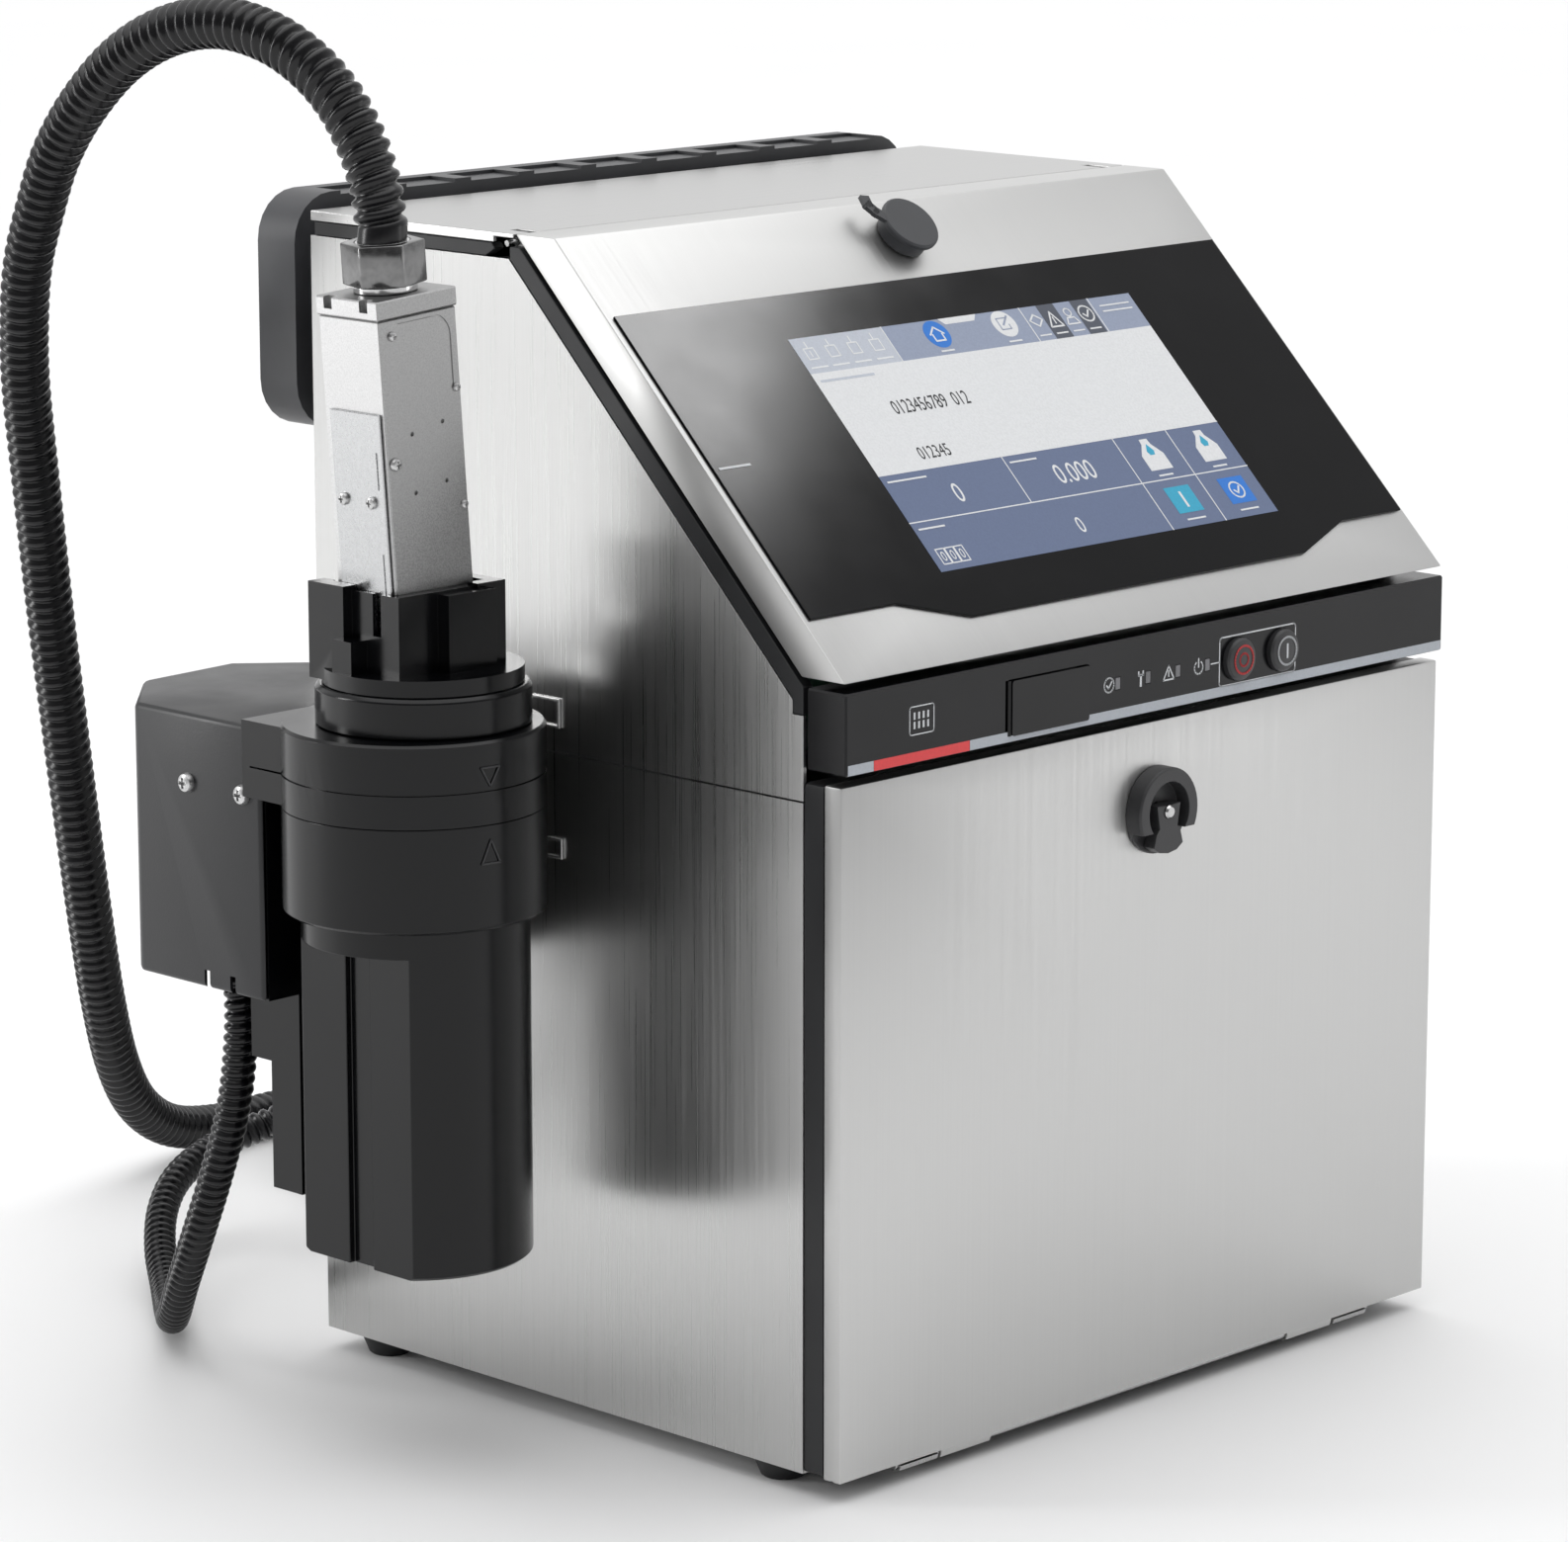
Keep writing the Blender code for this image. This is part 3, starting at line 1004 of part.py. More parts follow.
def centre_on_footprint():
    """Moves everything so that the origin is the middle of the box that the object fills, at its lowest."""
    bpy.context.view_layer.update()
    graph = bpy.context.evaluated_depsgraph_get()
    low = Vector((1e9, 1e9, 1e9))
    high = -low
    for obj in PARTS.objects:
        if obj.name in CORDS:
            continue
        shape = obj.evaluated_get(graph)
        for corner in shape.bound_box:
            point = shape.matrix_world @ Vector(corner)
            low = Vector(map(min, low, point))
            high = Vector(map(max, high, point))
    shift = Matrix.Translation(Vector((-(low.x + high.x) / 2, -(low.y + high.y) / 2, -low.z)))
    for obj in list(PARTS.objects) + list(CUTTERS.objects):
        if obj.parent is None:
            obj.matrix_world = shift @ obj.matrix_world


clear_scene()
PARTS = collection("date_code_inkjet_printer")
CUTTERS = collection("cutters", hidden=True)
CORDS = {"umbilical_hose", "umbilical_coil", "umbilical_tail", "drain_hose"}

STEEL = material("brushed_stainless", (0.62, 0.62, 0.62), 1.0, 0.32)
PLATE = material("zinc_plate", (0.55, 0.56, 0.58), 1.0, 0.4)
CHROME = material("nickel_plate", (0.78, 0.78, 0.78), 1.0, 0.15)
ALLOY = material("head_alloy", (0.72, 0.73, 0.75), 1.0, 0.35)
BRASS = material("head_brass", (0.6, 0.5, 0.3), 1.0, 0.35)
BLACK = material("black_plastic", (0.03, 0.03, 0.035), 0.0, 0.4)
GLOSS = material("band_plastic", (0.015, 0.016, 0.018), 0.0, 0.25)
POWDER = material("black_powder_coat", (0.03, 0.032, 0.036), 0.0, 0.5)
SOFT = material("soft_rubber", (0.05, 0.05, 0.055), 0.0, 0.6)
GLASS = material("console_glass", (0.01, 0.01, 0.012), 0.0, 0.05)
LENS = material("lamp_lens", (0.4, 0.4, 0.4), 0.0, 0.2)
HOSE = material("hose_plastic", (0.02, 0.02, 0.022), 0.0, 0.45)
TANK = material("tank_plastic", (0.75, 0.74, 0.7), 0.0, 0.4)
SOLVENT = material("bottle_plastic", (0.7, 0.75, 0.8), 0.0, 0.35)
BOARD = material("board_laminate", (0.03, 0.2, 0.08), 0.0, 0.5)

lower_cabinet()
upper_housing()
top_cover()
seals()
mid_shelf()
door_gasket()
feet()
rear_bumper()
vent_grille()
fan()
inner_pieces()
front_door()
door_hinge_rod()
latch()
control_band()
buttons()
port_flap()
console_lid()
lid_hinge_rod()
console_glass()
service_cap()
station_bracket()
station_box()
station_rings()
station_cup()
print_head()
hoses()
drain_hose()
glands()
centre_on_footprint()
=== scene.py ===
"""Looks of the date code inkjet printer: materials, ribbed hoses, screen and panel artwork, fasteners."""

import json
import math

import bmesh
import bpy
from mathutils import Matrix, Vector
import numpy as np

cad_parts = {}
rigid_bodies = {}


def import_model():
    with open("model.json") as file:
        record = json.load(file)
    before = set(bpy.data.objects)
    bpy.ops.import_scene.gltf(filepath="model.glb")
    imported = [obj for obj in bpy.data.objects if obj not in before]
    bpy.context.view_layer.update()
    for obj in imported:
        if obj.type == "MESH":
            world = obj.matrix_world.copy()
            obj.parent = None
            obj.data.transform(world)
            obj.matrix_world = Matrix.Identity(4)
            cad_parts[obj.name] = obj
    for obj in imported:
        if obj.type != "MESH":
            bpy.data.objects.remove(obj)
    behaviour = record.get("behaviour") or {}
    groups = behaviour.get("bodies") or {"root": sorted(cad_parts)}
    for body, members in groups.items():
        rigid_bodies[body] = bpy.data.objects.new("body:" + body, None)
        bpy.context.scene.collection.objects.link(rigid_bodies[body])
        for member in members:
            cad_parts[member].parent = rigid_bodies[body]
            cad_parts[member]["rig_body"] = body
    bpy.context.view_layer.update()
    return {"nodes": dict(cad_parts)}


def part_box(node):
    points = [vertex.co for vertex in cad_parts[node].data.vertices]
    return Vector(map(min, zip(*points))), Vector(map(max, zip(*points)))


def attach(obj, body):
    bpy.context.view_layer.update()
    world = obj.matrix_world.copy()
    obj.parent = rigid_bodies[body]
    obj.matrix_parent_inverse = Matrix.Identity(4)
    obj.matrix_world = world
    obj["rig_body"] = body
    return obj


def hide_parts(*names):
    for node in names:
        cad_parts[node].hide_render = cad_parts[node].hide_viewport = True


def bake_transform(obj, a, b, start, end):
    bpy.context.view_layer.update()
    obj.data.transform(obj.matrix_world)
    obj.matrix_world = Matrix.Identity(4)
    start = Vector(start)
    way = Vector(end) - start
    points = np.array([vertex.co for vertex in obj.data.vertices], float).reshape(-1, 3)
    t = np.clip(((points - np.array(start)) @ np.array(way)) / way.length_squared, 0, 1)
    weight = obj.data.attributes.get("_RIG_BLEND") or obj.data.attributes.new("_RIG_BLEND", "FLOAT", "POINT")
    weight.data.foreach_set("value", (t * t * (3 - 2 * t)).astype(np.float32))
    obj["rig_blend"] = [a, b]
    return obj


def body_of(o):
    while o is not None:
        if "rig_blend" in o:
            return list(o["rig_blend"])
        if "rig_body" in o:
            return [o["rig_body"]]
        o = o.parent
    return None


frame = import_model()

# The cabinet frame is in millimetres: x right from the left panel, y back from the door's face,
# z up from the cabinet's floor plate.
MM = 0.001
SEAT_GAP = 0.3
ORIGIN = Vector((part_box("upper_housing")[0].x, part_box("front_door")[0].y,
                 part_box("foot_1")[1].z + SEAT_GAP * MM))
WIDTH = 400.0
REAR_Y = 327.0
FLOOR_Z = -9.5
STATION = (-86.0, 168.5)
HEAD_LEAN = math.radians(4.2)
HEAD_BASE_Z = 340.0
HEAD_WIDTH = 43.5
HEAD_DEPTH = 37.0
BAND_FACE_Y = -2.6
BAND_MARKS_Z = 324


def at(x, y, z):
    return ORIGIN + Vector((x, y, z)) * MM


CABINET = Matrix.Translation(ORIGIN)
# Local X right, Y up the console's slope and Z out of it, from the lid's lower front edge. The glass starts
# GLASS_LOW up the slope and lies SEAT_GAP to GLASS_TOP out of it.
GLASS_LOW = 20.0
GLASS_TOP = 1.5
DIAGONAL = math.sqrt(0.5)
glass_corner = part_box("glass_panel")[0]
SLOPE = Matrix.Translation((ORIGIN.x, glass_corner.y - (GLASS_LOW - GLASS_TOP) * DIAGONAL * MM,
                            glass_corner.z - (GLASS_LOW + SEAT_GAP) * DIAGONAL * MM))
SLOPE = SLOPE @ Matrix.Rotation(math.radians(45), 4, "X")
HEAD = Matrix.Translation(at(*STATION, HEAD_BASE_Z)) @ Matrix.Rotation(-HEAD_LEAN, 4, "Y")
# Local X right, Y up and Z out of the control band's face.
BAND = Matrix.Translation(at(0, BAND_FACE_Y, 0)) @ Matrix.Rotation(math.radians(90), 4, "X")


# ---------------------------------------------------------------- materials

def shader(name, colour, metallic, roughness, **sockets):
    mat = bpy.data.materials.new(name)
    mat.use_nodes = True
    principled = mat.node_tree.nodes["Principled BSDF"]
    principled.inputs["Base Color"].default_value = (*colour, 1.0)
    principled.inputs["Metallic"].default_value = metallic
    principled.inputs["Roughness"].default_value = roughness
    for socket, value in sockets.items():
        principled.inputs[socket.replace("_", " ")].default_value = value
    return mat, mat.node_tree, principled


def noise(tree, scale, stretch=(1, 1, 1), detail=4.0, source="Object"):
    """A noise pattern in the piece's own coordinates; a small stretch value draws it out along that axis."""
    coords = tree.nodes.new("ShaderNodeTexCoord")
    mapping = tree.nodes.new("ShaderNodeMapping")
    mapping.inputs["Scale"].default_value = stretch
    pattern = tree.nodes.new("ShaderNodeTexNoise")
    pattern.inputs["Scale"].default_value = scale
    pattern.inputs["Detail"].default_value = detail
    tree.links.new(coords.outputs[source], mapping.inputs["Vector"])
    tree.links.new(mapping.outputs["Vector"], pattern.inputs["Vector"])
    return pattern.outputs["Fac"]


def ranged(tree, value, low, high, start=0.3, end=0.7):
    node = tree.nodes.new("ShaderNodeMapRange")
    node.inputs["From Min"].default_value = start
    node.inputs["From Max"].default_value = end
    node.inputs["To Min"].default_value = low
    node.inputs["To Max"].default_value = high
    tree.links.new(value, node.inputs["Value"])
    return node.outputs["Result"]


def tinted(tree, value, dark, light):
    ramp = tree.nodes.new("ShaderNodeValToRGB")
    ramp.color_ramp.elements[0].position = 0.3
    ramp.color_ramp.elements[1].position = 0.7
    ramp.color_ramp.elements[0].color = (*dark, 1.0)
    ramp.color_ramp.elements[1].color = (*light, 1.0)
    tree.links.new(value, ramp.inputs["Fac"])
    return ramp.outputs["Color"]


def bumped(tree, principled, value, strength, distance):
    bump = tree.nodes.new("ShaderNodeBump")
    bump.inputs["Strength"].default_value = strength
    bump.inputs["Distance"].default_value = distance
    tree.links.new(value, bump.inputs["Height"])
    tree.links.new(bump.outputs["Normal"], principled.inputs["Normal"])


def brushed(name, grey, rough, stretch, streak=0.06, anisotropy=0.0):
    """Rolled sheet steel with a fine grain drawn along one axis, and cloudy handling marks."""
    mat, tree, principled = shader(name, (grey, grey, grey), 1.0, rough)
    grain = noise(tree, 1.0, stretch, 5.0)
    clouds = noise(tree, 9.0, (1, 1, 0.5), 3.0)
    mix = tree.nodes.new("ShaderNodeMath")
    mix.operation = "MULTIPLY_ADD"
    mix.inputs[1].default_value = 0.7
    scaled = tree.nodes.new("ShaderNodeMath")
    scaled.operation = "MULTIPLY"
    scaled.inputs[1].default_value = 0.3
    tree.links.new(clouds, scaled.inputs[0])
    tree.links.new(grain, mix.inputs[0])
    tree.links.new(scaled.outputs[0], mix.inputs[2])
    low, high = grey - streak, grey + streak
    tree.links.new(tinted(tree, mix.outputs[0], (low, low, low * 0.99), (high, high, high * 0.99)),
                   principled.inputs["Base Color"])
    tree.links.new(ranged(tree, mix.outputs[0], rough * 0.82, rough * 1.2), principled.inputs["Roughness"])
    bumped(tree, principled, grain, 0.03, 0.00002)
    if anisotropy:
        principled.inputs["Anisotropic"].default_value = anisotropy
        tangent = tree.nodes.new("ShaderNodeTangent")
        tangent.direction_type = "RADIAL"
        tangent.axis = "Z"
        tree.links.new(tangent.outputs["Tangent"], principled.inputs["Tangent"])
    return mat


def plastic(name, colour, rough, grain=2600.0, depth=0.00004, spread=0.25, **sockets):
    """Moulded or coated surface: fine texture, and slow changes of sheen."""
    mat, tree, principled = shader(name, colour, 0.0, rough, **sockets)
    fine = noise(tree, grain, detail=2.0)
    slow = noise(tree, 28.0, detail=4.0)
    dark = tuple(c * (1.0 - spread) for c in colour)
    light = tuple(c * (1.0 + spread) for c in colour)
    tree.links.new(tinted(tree, slow, dark, light), principled.inputs["Base Color"])
    tree.links.new(ranged(tree, slow, rough * 0.85, rough * 1.15), principled.inputs["Roughness"])
    bumped(tree, principled, fine, 0.3, depth)
    return mat


def metal(name, grey, rough, scale=700.0, mottle=0.05, tint=(1.0, 1.0, 1.0)):
    """Plated or machined metal with a mottled surface."""
    mat, tree, principled = shader(name, tuple(grey * c for c in tint), 1.0, rough)
    spots = noise(tree, scale, detail=5.0)
    low, high = grey - mottle, grey + mottle
    tree.links.new(tinted(tree, spots, tuple(low * c for c in tint), tuple(high * c for c in tint)),
                   principled.inputs["Base Color"])
    tree.links.new(ranged(tree, spots, rough * 0.75, rough * 1.25), principled.inputs["Roughness"])
    bumped(tree, principled, spots, 0.15, 0.00003)
    return mat


def mottled_with_painted_lit_side(name, grey, painted_lit_side_grey, rough, scale, mottle):
    """A mottled casting whose faces towards -X are painted brighter: a painted lit side, not a real polish.
    """
    mat, tree, principled = shader(name, (grey, grey, grey), 1.0, rough)
    spots = noise(tree, scale, detail=5.0)
    coords = tree.nodes.new("ShaderNodeTexCoord")
    split = tree.nodes.new("ShaderNodeSeparateXYZ")
    mix = tree.nodes.new("ShaderNodeMix")
    mix.data_type = "RGBA"
    colours = [socket for socket in mix.inputs if socket.type == "RGBA"]
    tree.links.new(coords.outputs["Normal"], split.inputs["Vector"])
    # Painted light: faces whose normal points towards -X take the paler grey, so the lit side is painted into
    # the colour.
    tree.links.new(ranged(tree, split.outputs["X"], 1.0, 0.0, -0.95, -0.6), mix.inputs[0])
    for socket, base in zip(colours, (grey, painted_lit_side_grey)):
        low, high = (base - mottle,) * 3, (base + mottle,) * 3
        tree.links.new(tinted(tree, spots, low, high), socket)
    mixed = [socket for socket in mix.outputs if socket.type == "RGBA"][0]
    tree.links.new(mixed, principled.inputs["Base Color"])
    tree.links.new(ranged(tree, spots, rough * 0.75, rough * 1.25), principled.inputs["Roughness"])
    bumped(tree, principled, spots, 0.15, 0.00003)
    return mat


def print_ink(name, colour, rough=0.35, glow=0.0):
    """Printed or lit artwork: a thin film with a faint weave in its colour."""
    mat, tree, principled = shader(name, colour, 0.0, rough)
    fine = noise(tree, 900.0, detail=2.0)
    shade = tinted(tree, fine, tuple(c * 0.95 for c in colour), tuple(min(1.0, c * 1.04) for c in colour))
    tree.links.new(shade, principled.inputs["Base Color"])
    if glow:
        tree.links.new(shade, principled.inputs["Emission Color"])
        principled.inputs["Emission Strength"].default_value = glow
    return mat


STEEL_UP = brushed("steel_vertical_grain", 0.55, 0.30, (1300, 1300, 7), 0.022, 0.6)
STEEL_DOOR = brushed("steel_door_grain", 0.62, 0.42, (1300, 1300, 7), 0.022, 0.5)
STEEL_LID = brushed("steel_slope_grain", 0.60, 0.42, (1500, 9, 9), 0.02)
STEEL_TOP = brushed("steel_cover_grain", 0.55, 0.32, (9, 1300, 1300), 0.02)
STEEL_INSIDE = brushed("steel_mill_finish", 0.5, 0.38, (300, 300, 30), 0.05)
ZINC = metal("zinc_plate", 0.6, 0.35)
NICKEL = metal("nickel_plate", 0.55, 0.12, 300.0, 0.04)
NUT_NICKEL = metal("nut_nickel", 0.20, 0.16, 300.0, 0.03)
ALLOY_BRIGHT = metal("head_alloy_bright", 0.46, 0.28, 500.0, 0.03, (0.98, 0.99, 1.0))
# The head cover's faces towards -X carry a painted lit side: a brighter base colour with the same roughness.
ALLOY_COVER = mottled_with_painted_lit_side("head_alloy_cover", 0.34, 0.56, 0.40, 1500.0, 0.08)
BRASS = metal("head_brass", 0.62, 0.3, 400.0, 0.05, (1.0, 0.82, 0.48))
SATIN_BLACK = plastic("satin_black_plastic", (0.0022, 0.0024, 0.0030), 0.2, Specular_IOR_Level=0.32)
BUMPER_BLACK = plastic("bumper_plastic", (0.045, 0.046, 0.050), 0.42)
BAND_BLACK = plastic("band_film", (0.004, 0.004, 0.005), 0.2, 1200.0, 0.00001, Specular_IOR_Level=0.3)
END_BLACK = plastic("band_satin_end", (0.016, 0.017, 0.019), 0.42)
POWDER = plastic("black_powder_coat", (0.008, 0.0085, 0.010), 0.36, 900.0, 0.00012)
RUBBER = plastic("seal_rubber", (0.012, 0.0125, 0.014), 0.5, 1500.0, 0.00006)
CAP_GREY = plastic("cap_rubber", (0.045, 0.047, 0.052), 0.5, 1200.0, 0.00006)
LATCH_GREY = plastic("latch_plastic", (0.028, 0.028, 0.030), 0.42, 1800.0, 0.00005)
HOSE_BLACK = plastic("hose_plastic", (0.004, 0.004, 0.005), 0.25, 1500.0, 0.00003, Specular_IOR_Level=0.4)
GLASS_BLACK = plastic("console_glass", (0.002, 0.002, 0.0025), 0.16, 300.0, 0.0, 0.1, Specular_IOR_Level=0.1)
TANK = plastic("tank_plastic", (0.62, 0.63, 0.60), 0.45)
BOTTLE = plastic("bottle_plastic", (0.10, 0.11, 0.13), 0.35)
LAMINATE = plastic("board_laminate", (0.02, 0.14, 0.06), 0.35)
LENS = plastic("lamp_lens", (0.16, 0.16, 0.17), 0.3)
INK_WHITE = print_ink("ink_white", (0.62, 0.64, 0.66))
INK_SILVER = print_ink("ink_silver", (0.42, 0.45, 0.49))
INK_RED = print_ink("ink_red", (0.72, 0.035, 0.04))
LIT_WHITE = print_ink("lit_white", (0.62, 0.63, 0.64), 0.3, 0.2)
LIT_HEADER = print_ink("lit_header", (0.24, 0.28, 0.38), 0.3, 0.15)
LIT_HEADER_PALE = print_ink("lit_header_pale", (0.44, 0.47, 0.53), 0.3, 0.15)
LIT_HEADER_DARK = print_ink("lit_header_dark", (0.05, 0.06, 0.085), 0.3, 0.1)
LIT_GRID = print_ink("lit_grid", (0.095, 0.13, 0.23), 0.3, 0.15)
LIT_CYAN = print_ink("lit_cyan", (0.01, 0.30, 0.46), 0.3, 0.2)
LIT_BLUE = print_ink("lit_blue", (0.0, 0.14, 0.52), 0.3, 0.2)
LIT_INK = print_ink("lit_ink", (0.006, 0.007, 0.01), 0.5)


# ---------------------------------------------------------------- mesh helpers

def link(name, mesh, mat):
    obj = bpy.data.objects.new(name, mesh)
    bpy.context.scene.collection.objects.link(obj)
    mesh.materials.clear()
    mesh.materials.append(mat)
    return obj


def smooth(mesh, angle=32.0):
    mesh.polygons.foreach_set("use_smooth", [True] * len(mesh.polygons))
    mesh.set_sharp_from_angle(angle=math.radians(angle))


def bevelled(obj, width, segments=2):
    bevel = obj.modifiers.new("edges", "BEVEL")
    bevel.width = width * MM
    bevel.segments = segments
    bevel.limit_method = "ANGLE"
    bevel.angle_limit = math.radians(40)
    bevel.harden_normals = True
    return obj


def from_bmesh(name, made, mat, place, angle=32.0):
    bmesh.ops.recalc_face_normals(made, faces=made.faces)
    mesh = bpy.data.meshes.new(name)
    made.to_mesh(mesh)
    made.free()
    mesh.transform(place)
    smooth(mesh, angle)
    return link(name, mesh, mat)


def plate(name, outline, low, high, mat, place):
    """A flat outline in millimetres, thick from low to high along the local Z."""
    made = bmesh.new()
    bottom = [made.verts.new(Vector((x, y, low)) * MM) for x, y in outline]
    face = made.faces.new(bottom)
    grown = bmesh.ops.extrude_face_region(made, geom=[face])
    for item in grown["geom"]:
        if isinstance(item, bmesh.types.BMVert):
            item.co.z = high * MM
    return from_bmesh(name, made, mat, place)


def block(name, low, high, mat, place=CABINET, bevel=0.3):
    outline = [(low[0], low[1]), (high[0], low[1]), (high[0], high[1]), (low[0], high[1])]
    obj = plate(name, outline, low[2], high[2], mat, place)
    return bevelled(obj, bevel) if bevel else obj


def lathe(name, profile, mat, place, steps=32):
    """(radius, height) pairs in millimetres turned about the local Z, closed on the axis or as a ring."""
    made = bmesh.new()
    rows = []
    for r, z in profile:
        if r == 0:
            rows.append([made.verts.new((0, 0, z * MM))] * steps)
        else:
            angles = [2 * math.pi * i / steps for i in range(steps)]
            rows.append([made.verts.new((r * MM * math.cos(a), r * MM * math.sin(a),
                                         z * MM)) for a in angles])
    if profile[0][0] != 0:
        rows.append(rows[0])
    for lower, upper in zip(rows, rows[1:]):
        for i in range(steps):
            j = (i + 1) % steps
            corners = []
            for vert in (lower[i], lower[j], upper[j], upper[i]):
                if vert not in corners:
                    corners.append(vert)
            if len(corners) > 2:
                made.faces.new(corners)
    return from_bmesh(name, made, mat, place)


def merged(name, pieces, mat):
    """Several small pieces made one object; each stays a closed shell of its own."""
    made = bmesh.new()
    graph = bpy.context.evaluated_depsgraph_get()
    for piece in pieces:
        mesh = bpy.data.meshes.new_from_object(piece.evaluated_get(graph))
        mesh.transform(piece.matrix_world)
        made.from_mesh(mesh)
        bpy.data.meshes.remove(mesh)
        bpy.data.objects.remove(piece)
    return from_bmesh(name, made, mat, Matrix.Identity(4), 30.0)


def placed(obj, body):
    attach(obj, body)
    return obj


def carve(obj, *cutters):
    for cutter in cutters:
        modifier = obj.modifiers.new("cut", "BOOLEAN")
        modifier.operation = "DIFFERENCE"
        modifier.solver = "EXACT"
        modifier.object = cutter
        with bpy.context.temp_override(object=obj):
            bpy.ops.object.modifier_apply(modifier=modifier.name)
        bpy.data.objects.remove(cutter)
    smooth(obj.data)
    return obj


def circle(cx, cy, radius, steps=28):
    return [(cx + radius * math.cos(2 * math.pi * i / steps), cy + radius * math.sin(2 * math.pi * i / steps))
            for i in range(steps)]


def rounded(x0, y0, x1, y1, radius, steps=5):
    points = []
    for cx, cy, first in ((x1 - radius, y1 - radius, 0), (x0 + radius, y1 - radius, 90),
                          (x0 + radius, y0 + radius, 180), (x1 - radius, y0 + radius, 270)):
        for i in range(steps + 1):
            angle = math.radians(first + 90 * i / steps)
            points.append((cx + radius * math.cos(angle), cy + radius * math.sin(angle)))
    return points


def rectangle(x0, y0, x1, y1):
    return [(x0, y0), (x1, y0), (x1, y1), (x0, y1)]


def strip(points, width, closed=False):
    """Quads along a line of points, each a closed outline of that width."""
    pairs = list(zip(points, points[1:])) + ([(points[-1], points[0])] if closed else [])
    for (ax, ay), (bx, by) in pairs:
        length = math.hypot(bx - ax, by - ay)
        ux, uy = (bx - ax) / length * width / 2, (by - ay) / length * width / 2
        yield [(ax - ux * 0.6 - uy, ay - uy * 0.6 + ux), (ax - ux * 0.6 + uy, ay - uy * 0.6 - ux),
               (bx + ux * 0.6 + uy, by + uy * 0.6 - ux), (bx + ux * 0.6 - uy, by + uy * 0.6 + ux)]


# ---------------------------------------------------------------- finished copies of the CAD nodes

def finished(node, mat, bevel=0.35, cutters=()):
    """A copy of a CAD node with clean faces, smooth curves and rounded edges, in its real finish."""
    source = frame["nodes"][node]
    made = bmesh.new()
    made.from_mesh(source.data)
    bmesh.ops.remove_doubles(made, verts=made.verts, dist=1e-6)
    bmesh.ops.dissolve_limit(made, angle_limit=math.radians(0.6), verts=made.verts, edges=made.edges)
    mesh = bpy.data.meshes.new(node + "_finished")
    made.to_mesh(mesh)
    made.free()
    for name in ("custom_normal", "sharp_edge", "sharp_face"):
        if name in mesh.attributes:
            mesh.attributes.remove(mesh.attributes[name])
    obj = link(node + "_finished", mesh, mat)
    carve(obj, *cutters)
    if bevel:
        bevelled(obj, bevel)
    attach(obj, body_of(source)[0])
    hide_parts(node)
    return obj


def cabinet():
    for node in ("lower_cabinet", "upper_housing"):
        finished(node, STEEL_UP, 0.4)
    finished("front_door", STEEL_DOOR, 0.0)
    finished("console_lid", STEEL_LID, 0.0)
    finished("top_cover", STEEL_TOP, 0.5)
    for node in ("lid_seal_left", "lid_seal_right", "top_seal_left", "top_seal_right", "door_gasket"):
        finished(node, RUBBER, 0.5)
    for node in ("foot_1", "foot_2", "foot_3", "foot_4"):
        finished(node, RUBBER, 0.4)
    for node in ("door_hinge_rod", "lid_hinge_rod", "latch_spindle", "cap_socket"):
        finished(node, NICKEL, 0.2)
    for node, mat in (("mid_shelf", STEEL_INSIDE), ("power_supply", ZINC), ("ink_tank", TANK),
                      ("feed_pump", SATIN_BLACK),
                      ("ink_bottle", BOTTLE), ("makeup_bottle", TANK), ("circuit_board", LAMINATE),
                      ("display_module", SATIN_BLACK), ("port_socket", SATIN_BLACK)):
        finished(node, mat, 0.3)
    glass_sheen(finished("glass_panel", GLASS_BLACK, 0.25))
    finished("service_cap", CAP_GREY, 0.3)


def rear():
    finished("rear_bumper", BUMPER_BLACK, 0.5, bumper_slots())
    for node in ("fan_frame", "fan_rotor"):
        finished(node, SATIN_BLACK, 0.25)
    finished("vent_grille", POWDER, 0.25)
    for node in ("umbilical_gland", "drain_gland"):
        finished(node, SATIN_BLACK, 0.3)


def bumper_slots():
    """Long slots along the bumper's top run."""
    low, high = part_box("rear_bumper")
    top = (high.z - ORIGIN.z) / MM
    y0, y1 = (low.y - ORIGIN.y) / MM + 8, (high.y - ORIGIN.y) / MM - 8
    pitch = 40.0
    starts = [28 + pitch * i for i in range(9)]
    return [block("cut_slot", (x, y0, top - 1.6), (x + 30, y1, top + 5), RUBBER, CABINET, 0) for x in starts]


# ---------------------------------------------------------------- hoses

HOSE_D = 22.5
DRAIN_D = 15.5
COIL = (320.0, 490.0)
COIL_R = 125.0
ARCH_ROUTE = ((-101.2, 170.4, 548), (-101.9, 177.3, 565), (-102.7, 189.6, 582), (-103.6, 207.5, 596),
              (-104, 233, 606.5), (-103.8, 265, 610.5), (-103.2, 299, 605), (-101.6, 332, 591),
              (-98.6, 363, 569), (-94.3, 388, 545), (-89, 407, 519), (-83.6, 423, 494),
              (-77, 435, 468), (-67, 448, 436), (-50, 464, 387), (-26, 486, 320),
              (-8, 501, 267), (11, 517, 214), (34, 537, 157), (60, 560, 103),
              (86, 581.5, 62), (115, 601.5, 32), (148, 616.5, 12), (184, 624.5, 3.3),
              (222, 627, 1.75), (262, 627.3, 1.75))
HOSE_BENDS_UNTIL = (60, 560, 103)
TAIL_ROUTE = ((456, 494, 73.5), (453.4, 473, 82), (445.6, 453.3, 90.5), (433.3, 436.1, 98),
              (417, 422.5, 105), (400.7, 409.2, 110.5), (388.4, 392, 115), (380.6, 372.3, 118.5))
